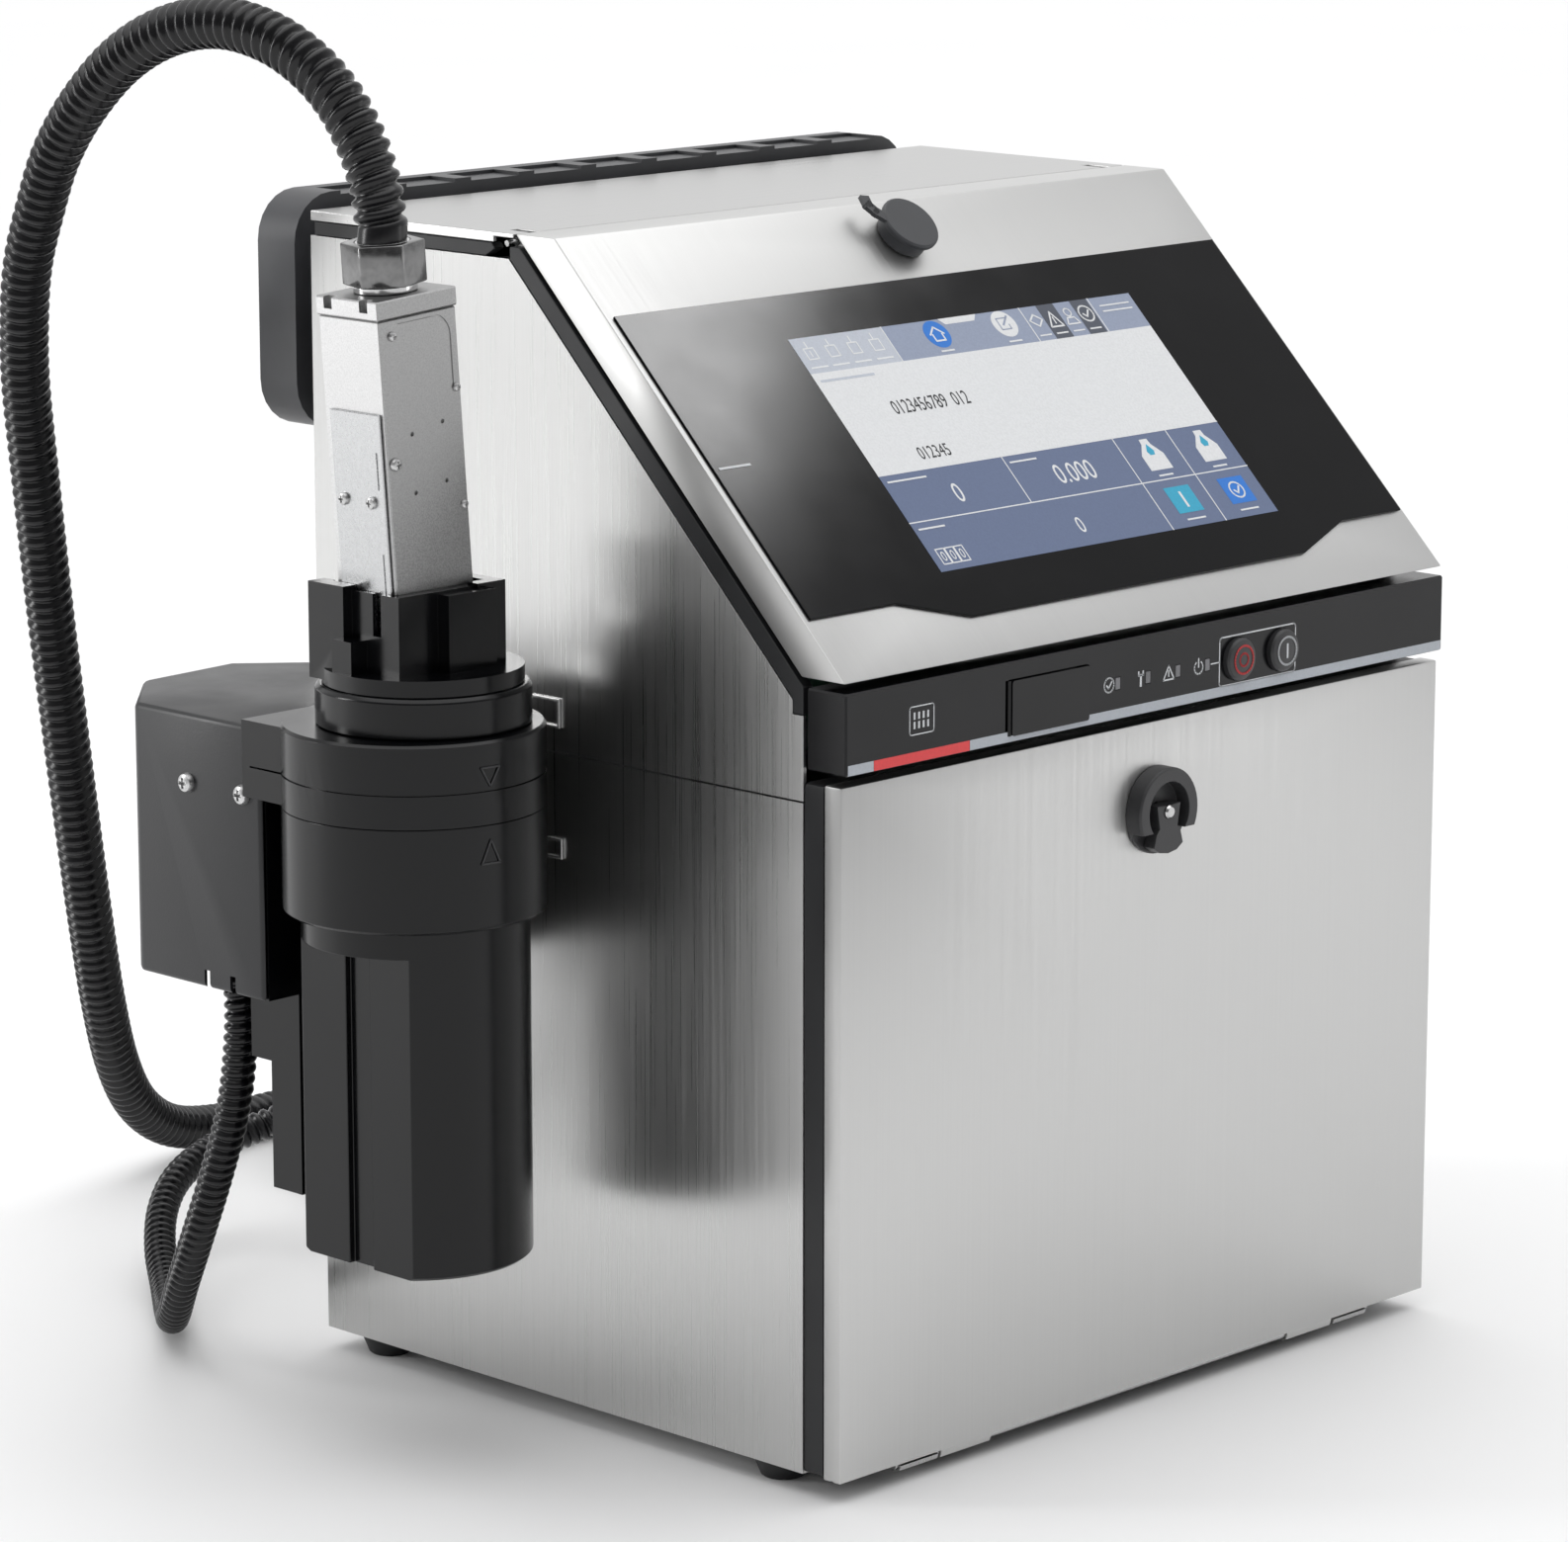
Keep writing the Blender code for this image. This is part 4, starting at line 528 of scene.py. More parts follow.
LEAVING = ((0.1, 0.0), (0.3, 0.5), (0.5, 3.5), (0.7, 9.0), (0.9, 17.0), (1.1, 27.0), (1.3, 38.5))
UMBILICAL_END = Vector((378.0, REAR_Y + 24.3, 120.0))
DRAIN_START = Vector((-98.0, 270.0, 200.0))
DRAIN_ROUTE = ((-98, 270, 170), (-97, 277, 135), (-94, 293, 100), (-89, 313, 66),
               (-78, 338, 35), (-61, 365, 11), (-38, 395, 0), (-14, 427, 1.5),
               (6, 455, 9), (25, 476, 19), (44, 489, 28), (65, 496.5, 34),
               (87, 496.5, 40), (108, 489, 46), (125, 475, 52), (136, 456, 59),
               (140, 432, 65), (140.4, 404, 71))
DRAIN_END = Vector((140.0, REAR_Y + 18.3, 75.0))
NUT_TOP = 186.6
RIB_PITCH = 6.2
RIB_DEPTH = 2.3
DRAIN_PITCH = 5.2
DRAIN_RIB_DEPTH = 1.7
RINGS_PER_RIB = 8


def spaced(points, spacing):
    """Evenly spaced points on a smooth curve through the given ones."""
    knots = [Vector(p) for p in points]
    knots = [2 * knots[0] - knots[1]] + knots + [2 * knots[-1] - knots[-2]]
    fine = []
    for i in range(1, len(knots) - 2):
        a, b, c, d = knots[i - 1:i + 3]
        for j in range(24):
            t = j / 24.0
            fine.append(0.5 * (2 * b + (c - a) * t + (2 * a - 5 * b + 4 * c - d) * t * t
                               + (3 * b - a - 3 * c + d) * t ** 3))
    fine.append(knots[-2])
    total = sum((q - p).length for p, q in zip(fine, fine[1:]))
    count = max(2, round(total / spacing))
    made, travelled, index = [fine[0]], 0.0, 0
    for k in range(1, count):
        wanted = total * k / count
        while travelled + (fine[index + 1] - fine[index]).length < wanted:
            travelled += (fine[index + 1] - fine[index]).length
            index += 1
        step = fine[index + 1] - fine[index]
        made.append(fine[index] + step * ((wanted - travelled) / step.length))
    made.append(fine[-1])
    return made


def eased(value, start, end):
    t = min(1.0, max(0.0, (value - start) / (end - start)))
    return t * t * (3 - 2 * t)


def coil_place(turn, radius, z):
    angle = math.radians(90) - turn
    return Vector((COIL[0] + radius * math.cos(angle), COIL[1] + radius * math.sin(angle), z))


def coil_path():
    """Three turns: the outer one on the floor, an inner one beside it, and the last on top of the first."""
    floor = FLOOR_Z + HOSE_D / 2
    full = 2 * math.pi
    points = []
    for i in range(1, 3 * 36 + 1):
        turn = 3 * full * i / (3 * 36)
        if turn < 0.55:
            continue
        inward = eased(turn, full - 1.6, full - 0.8) - eased(turn, 3 * full - 3.4, 3 * full - 2.6)
        radius = COIL_R + HOSE_D / 2 - HOSE_D * inward
        lift = HOSE_D * eased(turn, 2 * full - 2.6, 2 * full - 1.6)
        points.append(coil_place(turn, radius, floor + lift))
    return points


def umbilical_path():
    radius = HOSE_D / 2
    floor = FLOOR_Z + radius
    nut = (HEAD @ Vector((0, 0, NUT_TOP * MM)) - ORIGIN) / MM
    axis = HEAD.to_3x3() @ Vector((0, 0, 1))
    route = [nut + axis * 6] + [Vector(p) for p in ARCH_ROUTE]
    route += [coil_place(t, COIL_R + radius, floor) for t in (0.0, 0.25, 0.5)]
    route += coil_path()
    route += [coil_place(turn, COIL_R + radius, floor + HOSE_D + lift) for turn, lift in LEAVING]
    route += [Vector(p) for p in TAIL_ROUTE]
    route += [UMBILICAL_END + Vector((0, 4, 0))]
    return [nut] + spaced(route, RIB_PITCH / RINGS_PER_RIB) + [UMBILICAL_END]


def drain_path():
    route = [DRAIN_START - Vector((0, 0, 5))] + [Vector(p) for p in DRAIN_ROUTE]
    route += [DRAIN_END + Vector((0, 32, -2)), DRAIN_END + Vector((0, 6, 0))]
    return [DRAIN_START] + spaced(route, DRAIN_PITCH / RINGS_PER_RIB) + [DRAIN_END]


def ribbed(name, path, diameter, depth, sides):
    """Corrugated hose: round ribs with narrow valleys, wound as one helix, closed at both ends."""
    points = [at(*p) for p in path]
    made = bmesh.new()
    tangent = (points[1] - points[0]).normalized()
    side = tangent.orthogonal().normalized()
    rings = []
    for i, point in enumerate(points):
        ahead = points[min(i + 1, len(points) - 1)] - points[max(i - 1, 0)]
        tangent = ahead.normalized()
        side = (side - tangent * side.dot(tangent)).normalized()
        across = tangent.cross(side)
        ring = []
        for j in range(sides):
            turn = 2 * math.pi * j / sides
            valley = (0.5 + 0.5 * math.cos(2 * math.pi * i / RINGS_PER_RIB - turn)) ** 1.5
            radius = (diameter / 2 - depth * valley) * MM
            ring.append(made.verts.new(point + (side * math.cos(turn) + across * math.sin(turn)) * radius))
        rings.append(ring)
    for lower, upper in zip(rings, rings[1:]):
        for i in range(sides):
            j = (i + 1) % sides
            made.faces.new((lower[i], lower[j], upper[j], upper[i]))
    made.faces.new(list(reversed(rings[0])))
    made.faces.new(rings[-1])
    return from_bmesh(name, made, HOSE_BLACK, Matrix.Identity(4), 85.0), points


def hoses():
    hose, points = ribbed("umbilical_ribbed", umbilical_path(), HOSE_D, RIB_DEPTH, 24)
    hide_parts("umbilical_hose", "umbilical_coil", "umbilical_tail")
    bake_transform(hose, "print_head", "cabinet", start=points[0], end=at(*HOSE_BENDS_UNTIL))
    drain, points = ribbed("drain_ribbed", drain_path(), DRAIN_D, DRAIN_RIB_DEPTH, 20)
    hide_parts("drain_hose")
    placed(drain, "cabinet")


def coil_ties():
    """Two nylon bands hold the coil's turns together."""
    for number, turn in enumerate((2.0, 4.3)):
        centre = coil_place(turn, COIL_R, FLOOR_Z + HOSE_D)
        out = (centre - Vector((*COIL, centre.z))).normalized()
        half_r, half_z, thick = HOSE_D + 0.6, HOSE_D, 1.2
        outline = rounded(-half_r, -half_z, half_r, half_z + 0.6, 9.0, 6)
        inner = rounded(-half_r + thick, -half_z + thick, half_r - thick, half_z + 0.6 - thick, 8.0, 6)
        made = bmesh.new()
        place = Matrix.Translation(at(*centre)) @ Matrix((
            (out.x, 0, -out.y, 0), (out.y, 0, out.x, 0), (0, 1, 0, 0), (0, 0, 0, 1)))
        loops = [[made.verts.new(Vector((x, y, z)) * MM) for x, y in line]
                 for line, z in ((outline, -3), (outline, 3), (inner, 3), (inner, -3))]
        for first, second in zip(loops, loops[1:] + loops[:1]):
            for i in range(len(first)):
                j = (i + 1) % len(first)
                made.faces.new((first[i], first[j], second[j], second[i]))
        placed(from_bmesh(f"coil_tie_{number + 1}", made, SATIN_BLACK, place), "cabinet")


# ---------------------------------------------------------------- console artwork

FILM = (GLASS_TOP + 0.05, GLASS_TOP + 0.12)
MARK = (GLASS_TOP + 0.14, GLASS_TOP + 0.2)
TOPMARK = (GLASS_TOP + 0.22, GLASS_TOP + 0.27)


def on_glass(name, outlines, mat, layer=MARK):
    pieces = [plate(name + "_part", outline, *layer, mat, SLOPE) for outline in outlines]
    obj = merged(name, pieces, mat) if len(pieces) > 1 else pieces[0]
    obj.name = name
    return placed(obj, "console_lid")


def digits(name, text, x, y, size, mat, place, layer, body, width=0.78):
    """Generic digits as raised film, centred on x and standing on y."""
    curve = bpy.data.curves.new(name, "FONT")
    curve.body = text
    curve.size = size * MM
    curve.align_x = "CENTER"
    curve.extrude = (layer[1] - layer[0]) / 2 * MM
    curve.resolution_u = 4
    text_object = bpy.data.objects.new(name + "_text", curve)
    bpy.context.scene.collection.objects.link(text_object)
    bpy.context.view_layer.update()
    graph = bpy.context.evaluated_depsgraph_get()
    mesh = bpy.data.meshes.new_from_object(text_object.evaluated_get(graph))
    bpy.data.objects.remove(text_object)
    made = bmesh.new()
    made.from_mesh(mesh)
    bmesh.ops.remove_doubles(made, verts=made.verts, dist=1e-6)
    bmesh.ops.scale(made, vec=(width, 1, 1), verts=made.verts)
    local = Matrix.Translation(Vector((x, y, (layer[0] + layer[1]) / 2)) * MM)
    return placed(from_bmesh(name, made, mat, place @ local), body)


def screen():
    x0, x1, y0, y1 = 91.5, 317.0, 44.0, 173.0
    head, mid, low = 153.5, 96.5, 70.5
    left, tall = 150.0, 240.0
    on_glass("screen_message_area", [rectangle(x0, mid, x1, head)], LIT_WHITE, FILM)
    on_glass("screen_header_left", [rectangle(x0, head, left, y1)], LIT_HEADER_PALE, FILM)
    on_glass("screen_header", [rectangle(left, head, x1, y1)], LIT_HEADER, FILM)
    on_glass("screen_status_grid", [rectangle(x0, y0, x1, mid)], LIT_GRID, FILM)
    on_glass("screen_header_dark_keys", [rectangle(252.5, head, 264, y1), rectangle(275.5, head, 287, y1)],
             LIT_HEADER_DARK)
    lines = [((x0, low), (x1, low)), ((x0, mid), (x1, mid)), ((left, head), (left, y1)),
             ((tall + 1, head), (tall + 1, y1)), ((288, head), (288, y1)), ((170, low), (170, mid)),
             ((244, y0), (244, mid)), ((280.5, y0), (280.5, mid))]
    on_glass("screen_dividers", [q for a, b in lines for q in strip([a, b], 0.6)], LIT_WHITE)
    on_glass("screen_home_key", [circle(181, 165, 7.6)], LIT_BLUE)
    on_glass("screen_edit_key", [circle(226, 165.5, 7.4)], LIT_WHITE)
    on_glass("screen_tab", [[(187, y1), (190, 169.6), (209, 169.6), (212, y1)]], LIT_WHITE)
    house = [q for q in strip([(176.6, 165), (181, 169), (185.4, 165)], 0.9)]
    house += [q for q in strip([(178, 165), (178, 161.4), (184, 161.4), (184, 165)], 0.9)]
    on_glass("screen_home_icon", house, LIT_WHITE, TOPMARK)
    note = [q for q in strip([(222.5, 162.5), (222.5, 168.8), (229, 168.8)], 0.6)]
    note += [q for q in strip([(222.5, 162.5), (228.6, 162.5), (228.6, 165)], 0.6)]
    note += [q for q in strip([(225, 165), (230, 169.6)], 1.0)]
    on_glass("screen_edit_icon", note, LIT_HEADER, TOPMARK)
    pale = []
    for x in (99.5, 113, 127, 141):
        pale += list(strip([(x - 3, 161), (x - 3, 167), (x + 3, 167), (x + 3, 161)], 0.7, True))
        pale += list(strip([(x, 167), (x, 170.5)], 0.8))
        pale += list(strip([(x - 5, 156.5), (x + 5, 156.5)], 0.9))
    pale += list(strip([(99.5, 162.5), (99.5, 165.5)], 0.7))
    on_glass("screen_file_icons", pale, LIT_WHITE)
    icons = list(strip([(242.8, 165), (247, 168.2), (251, 165), (247, 161.5)], 0.9, True))
    icons += list(strip([(254, 160.2), (258.3, 168.6), (262.4, 160.2)], 0.9, True))
    icons += list(strip([(258.3, 162), (258.3, 165.6)], 0.8))
    icons += list(strip(circle(269.7, 167, 2.2, 12), 0.8, True))
    icons += list(strip([(265.6, 160.4), (267.4, 164), (272, 164), (273.8, 160.4)], 0.8, True))
    icons += list(strip(circle(281.2, 165, 4.4, 18), 0.9, True))
    icons += list(strip([(279, 165), (280.8, 163.2), (283.6, 166.8)], 0.9))
    icons += [q for y in (168, 164.8) for q in strip([(293, y), (313, y)], 0.8)]
    icons += [q for x in (247, 258.3, 269.7, 281.2) for q in strip([(x - 3.6, 156.4), (x + 3.6, 156.4)], 0.8)]
    icons += [q for x in (181, 226) for q in strip([(x - 4, 155.6), (x + 4, 155.6)], 0.9)]
    on_glass("screen_status_icons", icons, LIT_WHITE, TOPMARK)
    bottles = []
    for x in (262.5, 300):
        bottles.append([(x - 7.4, 76), (x + 7.4, 76), (x + 7.4, 84.5), (x + 3, 90.4), (x + 2.6, 93.4),
                        (x - 2.6, 93.4),
                        (x - 3, 90.4), (x - 7.4, 84.5)])
        bottles += list(strip([(x - 4.5, 72.9), (x + 4.5, 72.9)], 0.9))
    on_glass("screen_bottle_icons", bottles, LIT_WHITE)
    drops = [[(x, 90.6), (x - 2.4, 86.6), (x - 1.5, 84.4), (x + 1.5, 84.4),
              (x + 2.4, 86.6)] for x in (262.5, 300)]
    on_glass("screen_bottle_drops", drops, LIT_CYAN, TOPMARK)
    on_glass("screen_print_key", [rectangle(254.5, 51.5, 271.5, 66)], LIT_CYAN)
    on_glass("screen_start_key", [rectangle(291.5, 51.5, 308.5, 66)], LIT_BLUE)
    keys = list(strip([(263, 54.8), (263, 62.6)], 1.5)) + list(strip(circle(300, 58.8, 4.3, 18), 0.9, True))
    keys += list(strip([(298, 58.8), (299.7, 57), (302.4, 60.6)], 0.9))
    keys += [q for x in (263, 300) for q in strip([(x - 6, 47.8), (x + 6, 47.8)], 0.9)]
    keys += [q for x, w, y in ((94.5, 24, 92.6), (173, 17, 92.6),
                               (94.5, 16, 66.6)) for q in strip([(x, y), (x + w, y)], 0.9)]
    on_glass("screen_key_marks", keys, LIT_WHITE, TOPMARK)
    for x, y, size, text in ((131, 77, 14.5, "0"), (208, 77.5, 15, "0.000"), (190, 51, 12, "0")):
        digits("screen_number_" + text.replace(".", "_") + f"_{x}", text, x, y, size, LIT_WHITE, SLOPE,
               MARK, "console_lid")
    boxes = [q for i in range(3) for q in strip(rectangle(96 + 5.8 * i, 47.5, 101.2 + 5.8 * i, 55.5), 0.6,
                                                True)]
    on_glass("screen_counter_boxes", boxes, LIT_WHITE)
    for i in range(3):
        digits(f"screen_counter_digit_{i + 1}", "0", 98.6 + 5.8 * i, 49, 7.2, LIT_WHITE, SLOPE, TOPMARK,
               "console_lid")
    digits("screen_message_digits_1", "0123456789  012", 150, 126.5, 10.5, LIT_INK, SLOPE, MARK,
           "console_lid", 0.66)
    digits("screen_message_digits_2", "012345", 133, 101.5, 9.5, LIT_INK, SLOPE, MARK, "console_lid",
           0.7)
    on_glass("screen_message_rule", [q for q in strip([(95, 149), (128, 149)], 1.3)], LIT_HEADER_PALE)
    on_glass("glass_dash", [rectangle(6, 112.2, 25, 113.4)], INK_WHITE)


# ---------------------------------------------------------------- control band

def on_band(name, outlines, mat, low=0.04, high=0.1, body="cabinet"):
    pieces = [plate(name + "_part", outline, low, high, mat, BAND) for outline in outlines]
    obj = merged(name, pieces, mat) if len(pieces) > 1 else pieces[0]
    obj.name = name
    return placed(obj, body)


def flap_relief():
    """Room in the band for the corner of the port flap as it swings about its barrel."""
    low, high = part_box("port_flap")
    barrel_r, corner_r, proud = 1.1, 2.5, 1.6
    base, top = (low.z - ORIGIN.z) / MM - 0.3, (high.z - ORIGIN.z) / MM + 0.3
    axis = Matrix.Translation((low.x + barrel_r * MM, low.y + proud * MM, ORIGIN.z))
    return lathe("cut", [(0, base), (corner_r, base), (corner_r, top), (0, top)], RUBBER, axis, 24)


def band():
    finished("control_band", BAND_BLACK, 0.25, [flap_relief()])
    finished("indicator_lens", LENS, 0.1)
    finished("port_flap", SATIN_BLACK, 0.3)
    finished("stop_button", LATCH_GREY, 0.3)
    finished("on_button", LATCH_GREY, 0.3)
    z0, z1 = 308.4, 312.8
    on_band("band_stripe_silver", [rectangle(1.2, z0, 16.7, z1), rectangle(76.2, z0, WIDTH - 1.2, z1)],
            INK_SILVER)
    on_band("band_stripe_red", [rectangle(16.9, z0, 76, z1)], INK_RED)
    frame_line = list(strip(rounded(38.7, 320.2, 53.6, 332.2, 1.0, 2), 0.5, True))
    label = [q for y in (328.2, 324.2) for x in (41.6, 44.4, 47.2,
                                                 50) for q in strip([(x, y - 1.2), (x, y + 1.2)], 1.1)]
    on_band("band_label", frame_line + label, INK_WHITE)
    icons = list(strip(circle(165.6, 324, 3.2, 18), 0.7, True))
    icons += list(strip([(164, 324), (165.3, 322.6), (167.4, 325.4)], 0.7))
    icons += list(strip([(186.7, 320.8), (186.7, 325.4)], 1.3))
    icons += list(strip([(185.2, 327.2), (185.2, 325.6), (188.2, 325.6), (188.2, 327.2)], 0.9))
    icons += list(strip([(201.8, 321), (205.4, 327.2), (209, 321)], 0.7, True))
    icons += list(strip([(205.4, 322.4), (205.4, 325)], 0.7))
    power = [(225.7 + 2.9 * math.sin(a),
              323.6 + 2.9 * math.cos(a)) for a in (math.radians(35 + 29 * i) for i in range(11))]
    icons += list(strip(power, 0.7)) + list(strip([(225.7, 323.8), (225.7, 327.6)], 0.8))
    icons += list(strip([(234.2, 324), (239.8, 324)], 0.6))
    icons += list(strip(rounded(240, 312.9, 292.8, 334.8, 1.6, 3), 0.7, True))
    on_band("band_icons", icons, INK_WHITE)


def button_faces():
    """The ring and the sign on each button's face, proud of it by a film's thickness."""
    z = BAND_MARKS_Z
    for node, x, mat, name in (("stop_button", 252.4, INK_RED, "stop_sign"),
                               ("on_button", 282.6, INK_WHITE, "on_sign")):
        proud = (ORIGIN.y + BAND_FACE_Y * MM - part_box(node)[0].y) / MM
        marks = list(strip(circle(x, z, 6.3, 28), 1.0, True))
        if node == "stop_button":
            marks += list(strip(circle(x, z, 2.9, 20), 0.9, True))
        else:
            marks += list(strip([(x, z - 3), (x, z + 3)], 1.1))
        on_band(name, marks, mat, proud + 0.04, proud + 0.1, node)


# ---------------------------------------------------------------- fasteners and small fittings

def screw(name, place, radius, body, mat=ZINC):
    """A cross-recessed pan head, its axis along the local Z."""
    head = lathe(name, [(0, 0.0), (radius, 0.0), (radius, radius * 0.25), (radius * 0.86, radius * 0.55),
                        (radius * 0.55, radius * 0.72), (0, radius * 0.78)], mat, place, 24)
    arm, width = radius * 0.55, radius * 0.17
    cutters = [block("cut", (-arm, -width, radius * 0.35), (arm, width, radius), mat, place, 0),
               block("cut", (-width, -arm, radius * 0.3), (width, arm, radius), mat, place, 0)]
    carve(head, *cutters)
    return placed(head, body)


def facing(point, direction, place=CABINET):
    """A frame at that point whose Z points along the direction, both in the given frame."""
    turn = Vector(direction).to_track_quat("Z", "Y").to_matrix().to_4x4()
    return place @ Matrix.Translation(Vector(point) * MM) @ turn


TAB_WIRE = 1.2
CUP_MARK_R = 56.5


def station():
    finished("station_box", POWDER, 0.4)
    finished("station_bracket", SATIN_BLACK, 0.4)
    finished("station_pump", SATIN_BLACK, 0.4)
    x, y = STATION
    ring = lathe("cut_ring", [(55.6, 299.6), (70, 299.6), (70, 300.4), (55.6, 300.4)], RUBBER,
                 CABINET @ Matrix.Translation(Vector((x, y, 0)) * MM), 64)
    finished("station_collar", SATIN_BLACK, 0.35, [ring])
    finished("station_cup_ring", SATIN_BLACK, 0.35)
    finished("station_cup", SATIN_BLACK, 0.5)
    finished("station_seat", SATIN_BLACK, 0.6)
    finished("head_socket", SATIN_BLACK, 0.6)
    side = (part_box("station_box")[0].x - ORIGIN.x) / MM
    for number, (py, pz) in enumerate(((274, 284), (237.5, 284))):
        screw(f"box_screw_{number + 1}", facing((side - 0.05, py, pz), (-1, 0, 0)), 4.4, "cabinet")
    for number, (y0, y1, z0, z1) in enumerate(((168, 186, 305, 318), (167, 176, 247, 256))):
        inner = y0 + TAB_WIRE
        bars = ((y0, inner, z0, z1), (inner, y1, z1 - TAB_WIRE, z1), (inner, y1, z0, z0 + TAB_WIRE))
        tabs = [block("tab", (-0.2 - TAB_WIRE, a, c), (-0.2, b, d), ZINC, CABINET, 0.2) for a, b, c,
                d in bars]
        placed(merged(f"side_tab_{number + 1}", tabs, ZINC), "cabinet")
    marks = []
    for up, z0, z1 in ((False, 302, 310), (True, 269, 279)):
        tip, base = (z1, z0) if up else (z0, z1)
        triangle = [(-4.6, base), (4.6, base), (0, tip)]
        marks += [(q, up) for q in strip(triangle, 0.7, True)]
    for name, wanted, body in (("collar_mark", False, "cabinet"), ("cup_mark", True, "station_cup")):
        pieces = []
        for outline, up in marks:
            if up == wanted:
                turn = Matrix.Rotation(math.radians(-8), 4, "Z")
                base = CABINET @ Matrix.Translation(Vector((x, y, 0)) * MM) @ turn
                pieces.append(plate("mark", outline, CUP_MARK_R + 0.02, CUP_MARK_R + 0.5, END_BLACK,
                                    base @ Matrix.Rotation(math.radians(90), 4, "X")))
        placed(merged(name, pieces, LATCH_GREY), body)


def print_head():
    hx, hy = HEAD_WIDTH / 2, HEAD_DEPTH / 2
    front = -hy - 0.3
    holes = [lathe("cut", [(0, -1.2), (1.0, -1.2), (1.0, 3), (0, 3)], RUBBER,
                   facing((px, -hy, pz), (0, -1, 0), HEAD), 16)
             for px, pz in ((-7.2, 107.6), (10.1, 110), (-7.25, 82.7), (10.3, 84.8))]
    bend = 9.5
    turns = [math.radians(a) for a in range(0, 91, 15)]
    arc = [(17.5 - bend + bend * math.sin(a), 155 - bend + bend * math.cos(a)) for a in turns]
    path = [(-11, 155)] + arc + [(17.5, 124)]
    grooves = [plate("cut", quad, hy - 0.45, hy + 3, RUBBER, HEAD @ Matrix.Rotation(math.radians(90), 4, "X"))
               for quad in strip(path, 0.9)]
    finished("head_cover", ALLOY_COVER, 0.0, holes + grooves)
    slots = [block("cut", (-hx - 5, -14.4, z0), (-hx - 0.9, -12.8, z1), RUBBER, HEAD, 0) for z0,
             z1 in ((86, 102), (38, 58.7))]
    finished("head_side_plate", ALLOY_BRIGHT, 0.0, slots)
    finished("head_cap", ALLOY_COVER, 0.0)
    finished("head_neck", NICKEL, 0.3)
    finished("hose_nut", NUT_NICKEL, 0.3)
    finished("head_block", BRASS, 0.2)
    for number, (px, pz, r) in enumerate(((-14.8, 150, 2.0), (19.0, 123, 1.9), (-17.8, 96.6, 2.8),
                                          (19.0, 73, 1.9))):
        screw(f"head_front_screw_{number + 1}", facing((px, front + 0.2, pz), (0, -1, 0), HEAD), r,
              "print_head")
    for number, (py, pz) in enumerate(((8.7, 80.3), (-8.5, 80.3))):
        screw(f"head_side_screw_{number + 1}", facing((-hx - 1.35, py, pz), (-1, 0, 0), HEAD), 2.8,
              "print_head")


def latch():
    for node in ("latch_dial", "latch_knob"):
        finished(node, LATCH_GREY, 0.5)


def cap_tether():
    """The strap from the service cap's neck to the ridge, which keeps the cap with the machine."""
    points = [(187.0, 226.0), (183.5, 229.5), (181.5, 233.5), (182.2, 237.2)]
    pieces = [plate("strap", q, 8.2, 10.2, CAP_GREY, SLOPE) for q in strip(points, 5.0)]
    placed(merged("cap_tether", pieces, CAP_GREY), "service_cap")


# ---------------------------------------------------------------- scene

FLOOR_GREY = 0.86
FLOOR_HALF = 20.0
MACHINE_MIDDLE = (0, 0, 0.4)


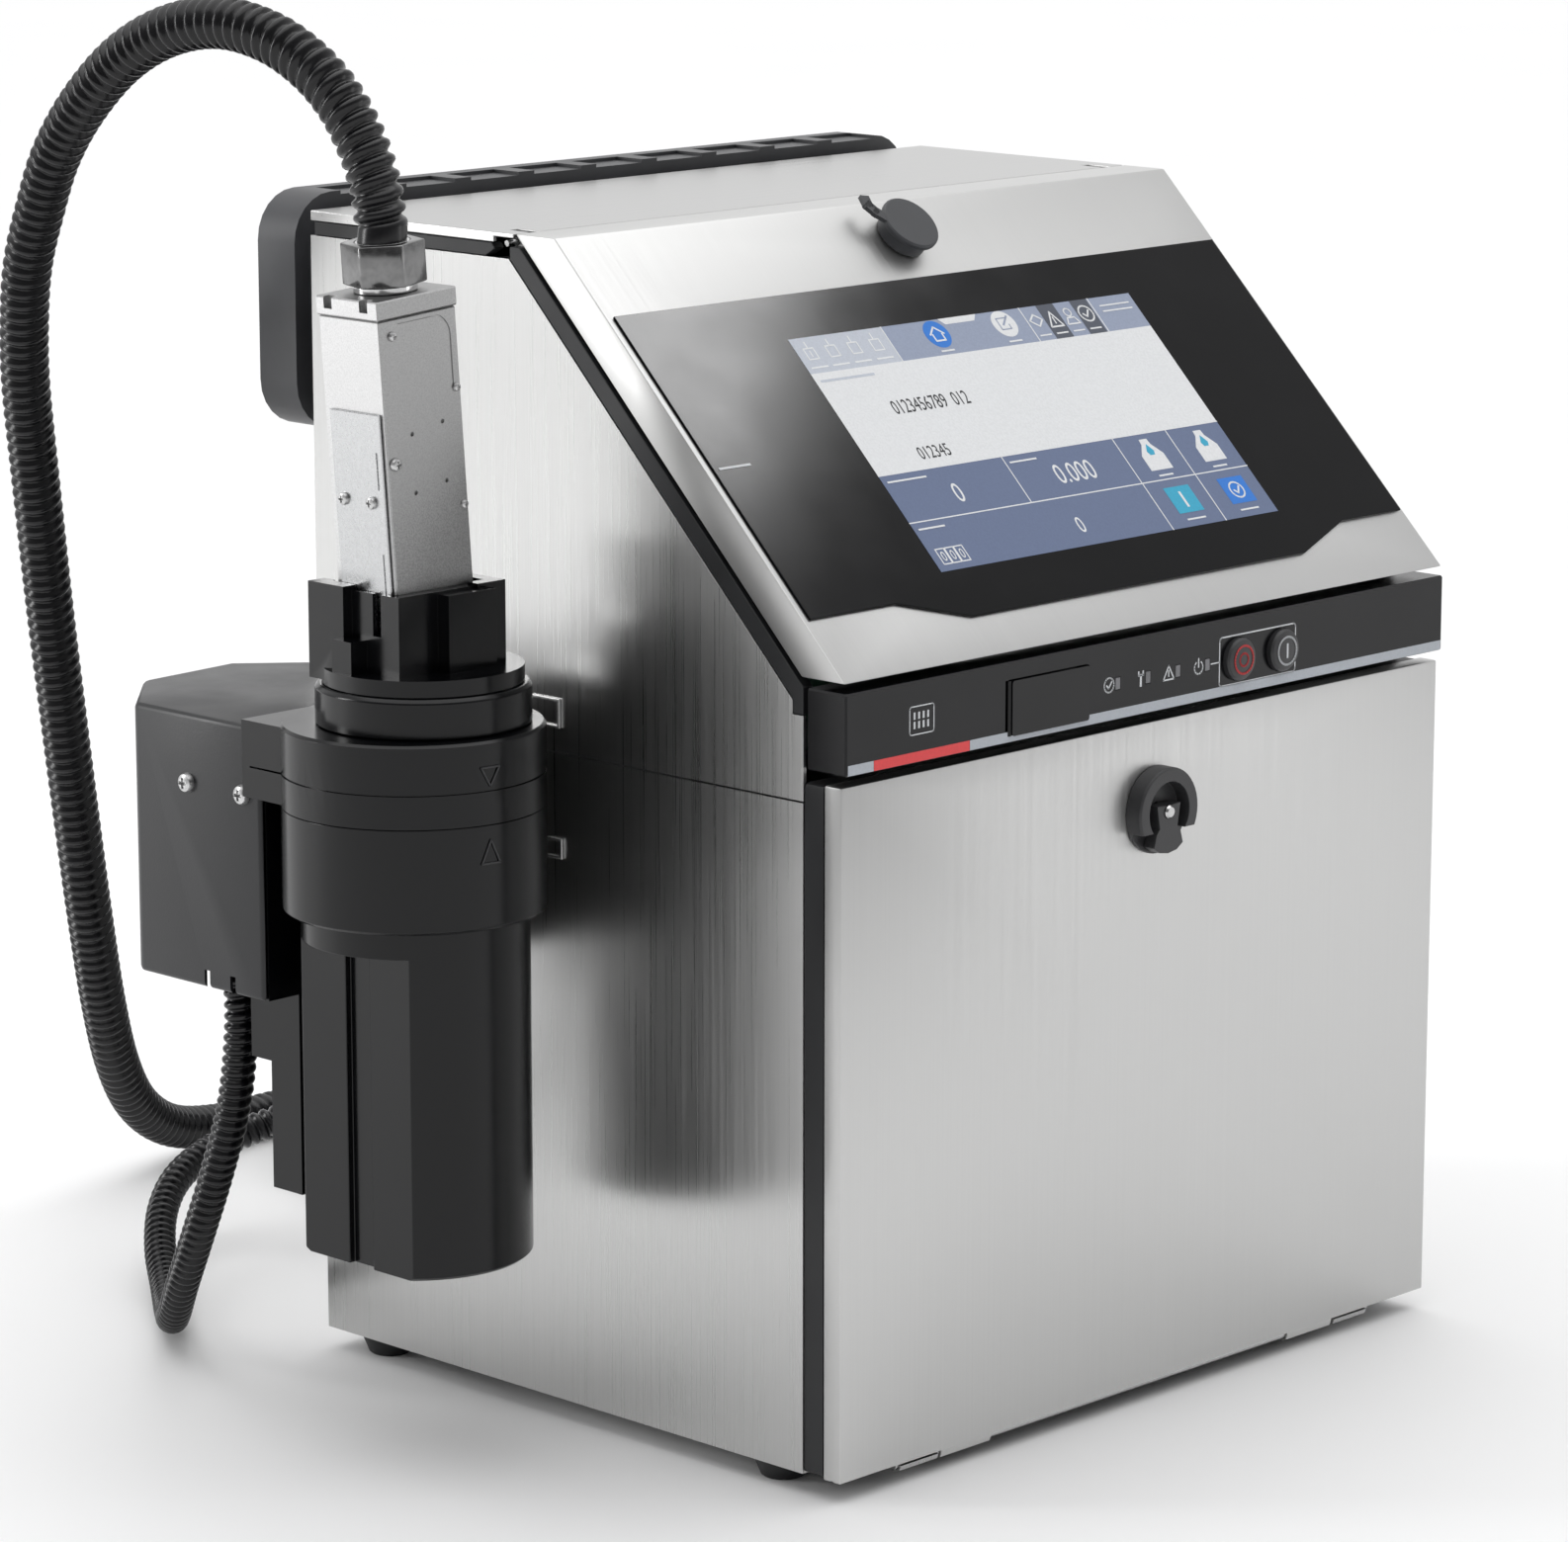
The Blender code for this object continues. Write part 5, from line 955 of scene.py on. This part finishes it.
def studio():
    ground, tree, principled = shader("pale_floor", (FLOOR_GREY,) * 3, 0.0, 0.7)
    shade = tinted(tree, noise(tree, 2.0), (FLOOR_GREY - 0.005,) * 3, (FLOOR_GREY + 0.005,) * 3)
    tree.links.new(shade, principled.inputs["Base Color"])
    half = FLOOR_HALF
    mesh = bpy.data.meshes.new("floor")
    corners = [(-half, -half, 0), (half, -half, 0), (half, half, 0), (-half, half, 0)]
    mesh.from_pydata(corners, [], [(0, 1, 2, 3)])
    link("floor", mesh, ground)

    world = bpy.data.worlds.new("studio")
    bpy.context.scene.world = world
    world.use_nodes = True
    tree = world.node_tree
    # Dark behind the camera, pale behind the object and overhead.
    coords = tree.nodes.new("ShaderNodeTexCoord")
    along = tree.nodes.new("ShaderNodeVectorMath")
    along.operation = "DOT_PRODUCT"
    along.inputs[1].default_value = (0.55, 0.45, 0.7)
    ramp = tree.nodes.new("ShaderNodeValToRGB")
    for position, grey in ((0.0, 0.12), (0.45, 0.35), (0.8, 0.85), (1.0, 1.0)):
        step = ramp.color_ramp.elements.new(position)
        step.color = (grey, grey, grey * 1.01, 1)
    ramp.color_ramp.elements.remove(ramp.color_ramp.elements[0])
    ramp.color_ramp.elements.remove(ramp.color_ramp.elements[-1])
    tree.links.new(coords.outputs["Generated"], along.inputs[0])
    tree.links.new(ranged(tree, along.outputs["Value"], 0.0, 1.0, -0.7, 1.0), ramp.inputs["Fac"])
    tree.links.new(ramp.outputs["Color"], tree.nodes["Background"].inputs["Color"])
    tree.nodes["Background"].inputs["Strength"].default_value = 1.0

    sun = bpy.data.lights.new("overhead", "SUN")
    sun.energy = 1.5
    sun.angle = math.radians(80)
    bpy.context.scene.collection.objects.link(bpy.data.objects.new("overhead", sun))
    softbox("right_softbox", (2.1, -2.3, 0.5), (0.7, 1.3), 4.0, MACHINE_MIDDLE)
    softbox("left_softbox", (-2.2, 2.2, 1.2), (0.6, 1.8), 32.0, MACHINE_MIDDLE)


def softbox(name, place, size, power, target):
    """A rectangular lamp turned towards the target."""
    lamp = bpy.data.lights.new(name, "AREA")
    lamp.shape = "RECTANGLE"
    lamp.size, lamp.size_y = size
    lamp.energy = power
    obj = bpy.data.objects.new(name, lamp)
    bpy.context.scene.collection.objects.link(obj)
    obj.location = place
    obj.rotation_euler = (Vector(place) - Vector(target)).to_track_quat("Z", "Y").to_euler()
    return obj


def glass_sheen(glass):
    """A small lamp that lights the console's glass only: the pale reflection at its upper left."""
    lamp = softbox("console_softbox", at(1000, -30, 1560), (0.3, 0.3), 7.5, at(10, 155, 478))
    only = bpy.data.collections.new("lit_by_console_softbox")
    only.objects.link(glass)
    lamp.light_linking.receiver_collection = only


CAMERA_AZIMUTH = math.radians(-45.886)
CAMERA_ELEVATION = math.radians(11.85)
CAMERA_TARGET = (110.27, 140.0, 273.56)
CAMERA_DISTANCE = 2.5969
CAMERA_LENS = 133.87


def camera():
    azimuth, elevation = CAMERA_AZIMUTH, CAMERA_ELEVATION
    away = Vector((math.sin(azimuth) * math.cos(elevation), -math.cos(azimuth) * math.cos(elevation),
                   math.sin(elevation)))
    data = bpy.data.cameras.new("camera")
    data.lens = CAMERA_LENS
    data.sensor_width = 36.0
    data.clip_end = 60.0
    obj = bpy.data.objects.new("camera", data)
    bpy.context.scene.collection.objects.link(obj)
    obj.location = at(*CAMERA_TARGET) + away * CAMERA_DISTANCE
    obj.rotation_euler = away.to_track_quat("Z", "Y").to_euler()
    bpy.context.scene.camera = obj
    bpy.context.scene.view_settings.view_transform = "Standard"


studio()
camera()
hoses()
coil_ties()
cabinet()
rear()
screen()
band()
button_faces()
station()
print_head()
latch()
cap_tether()
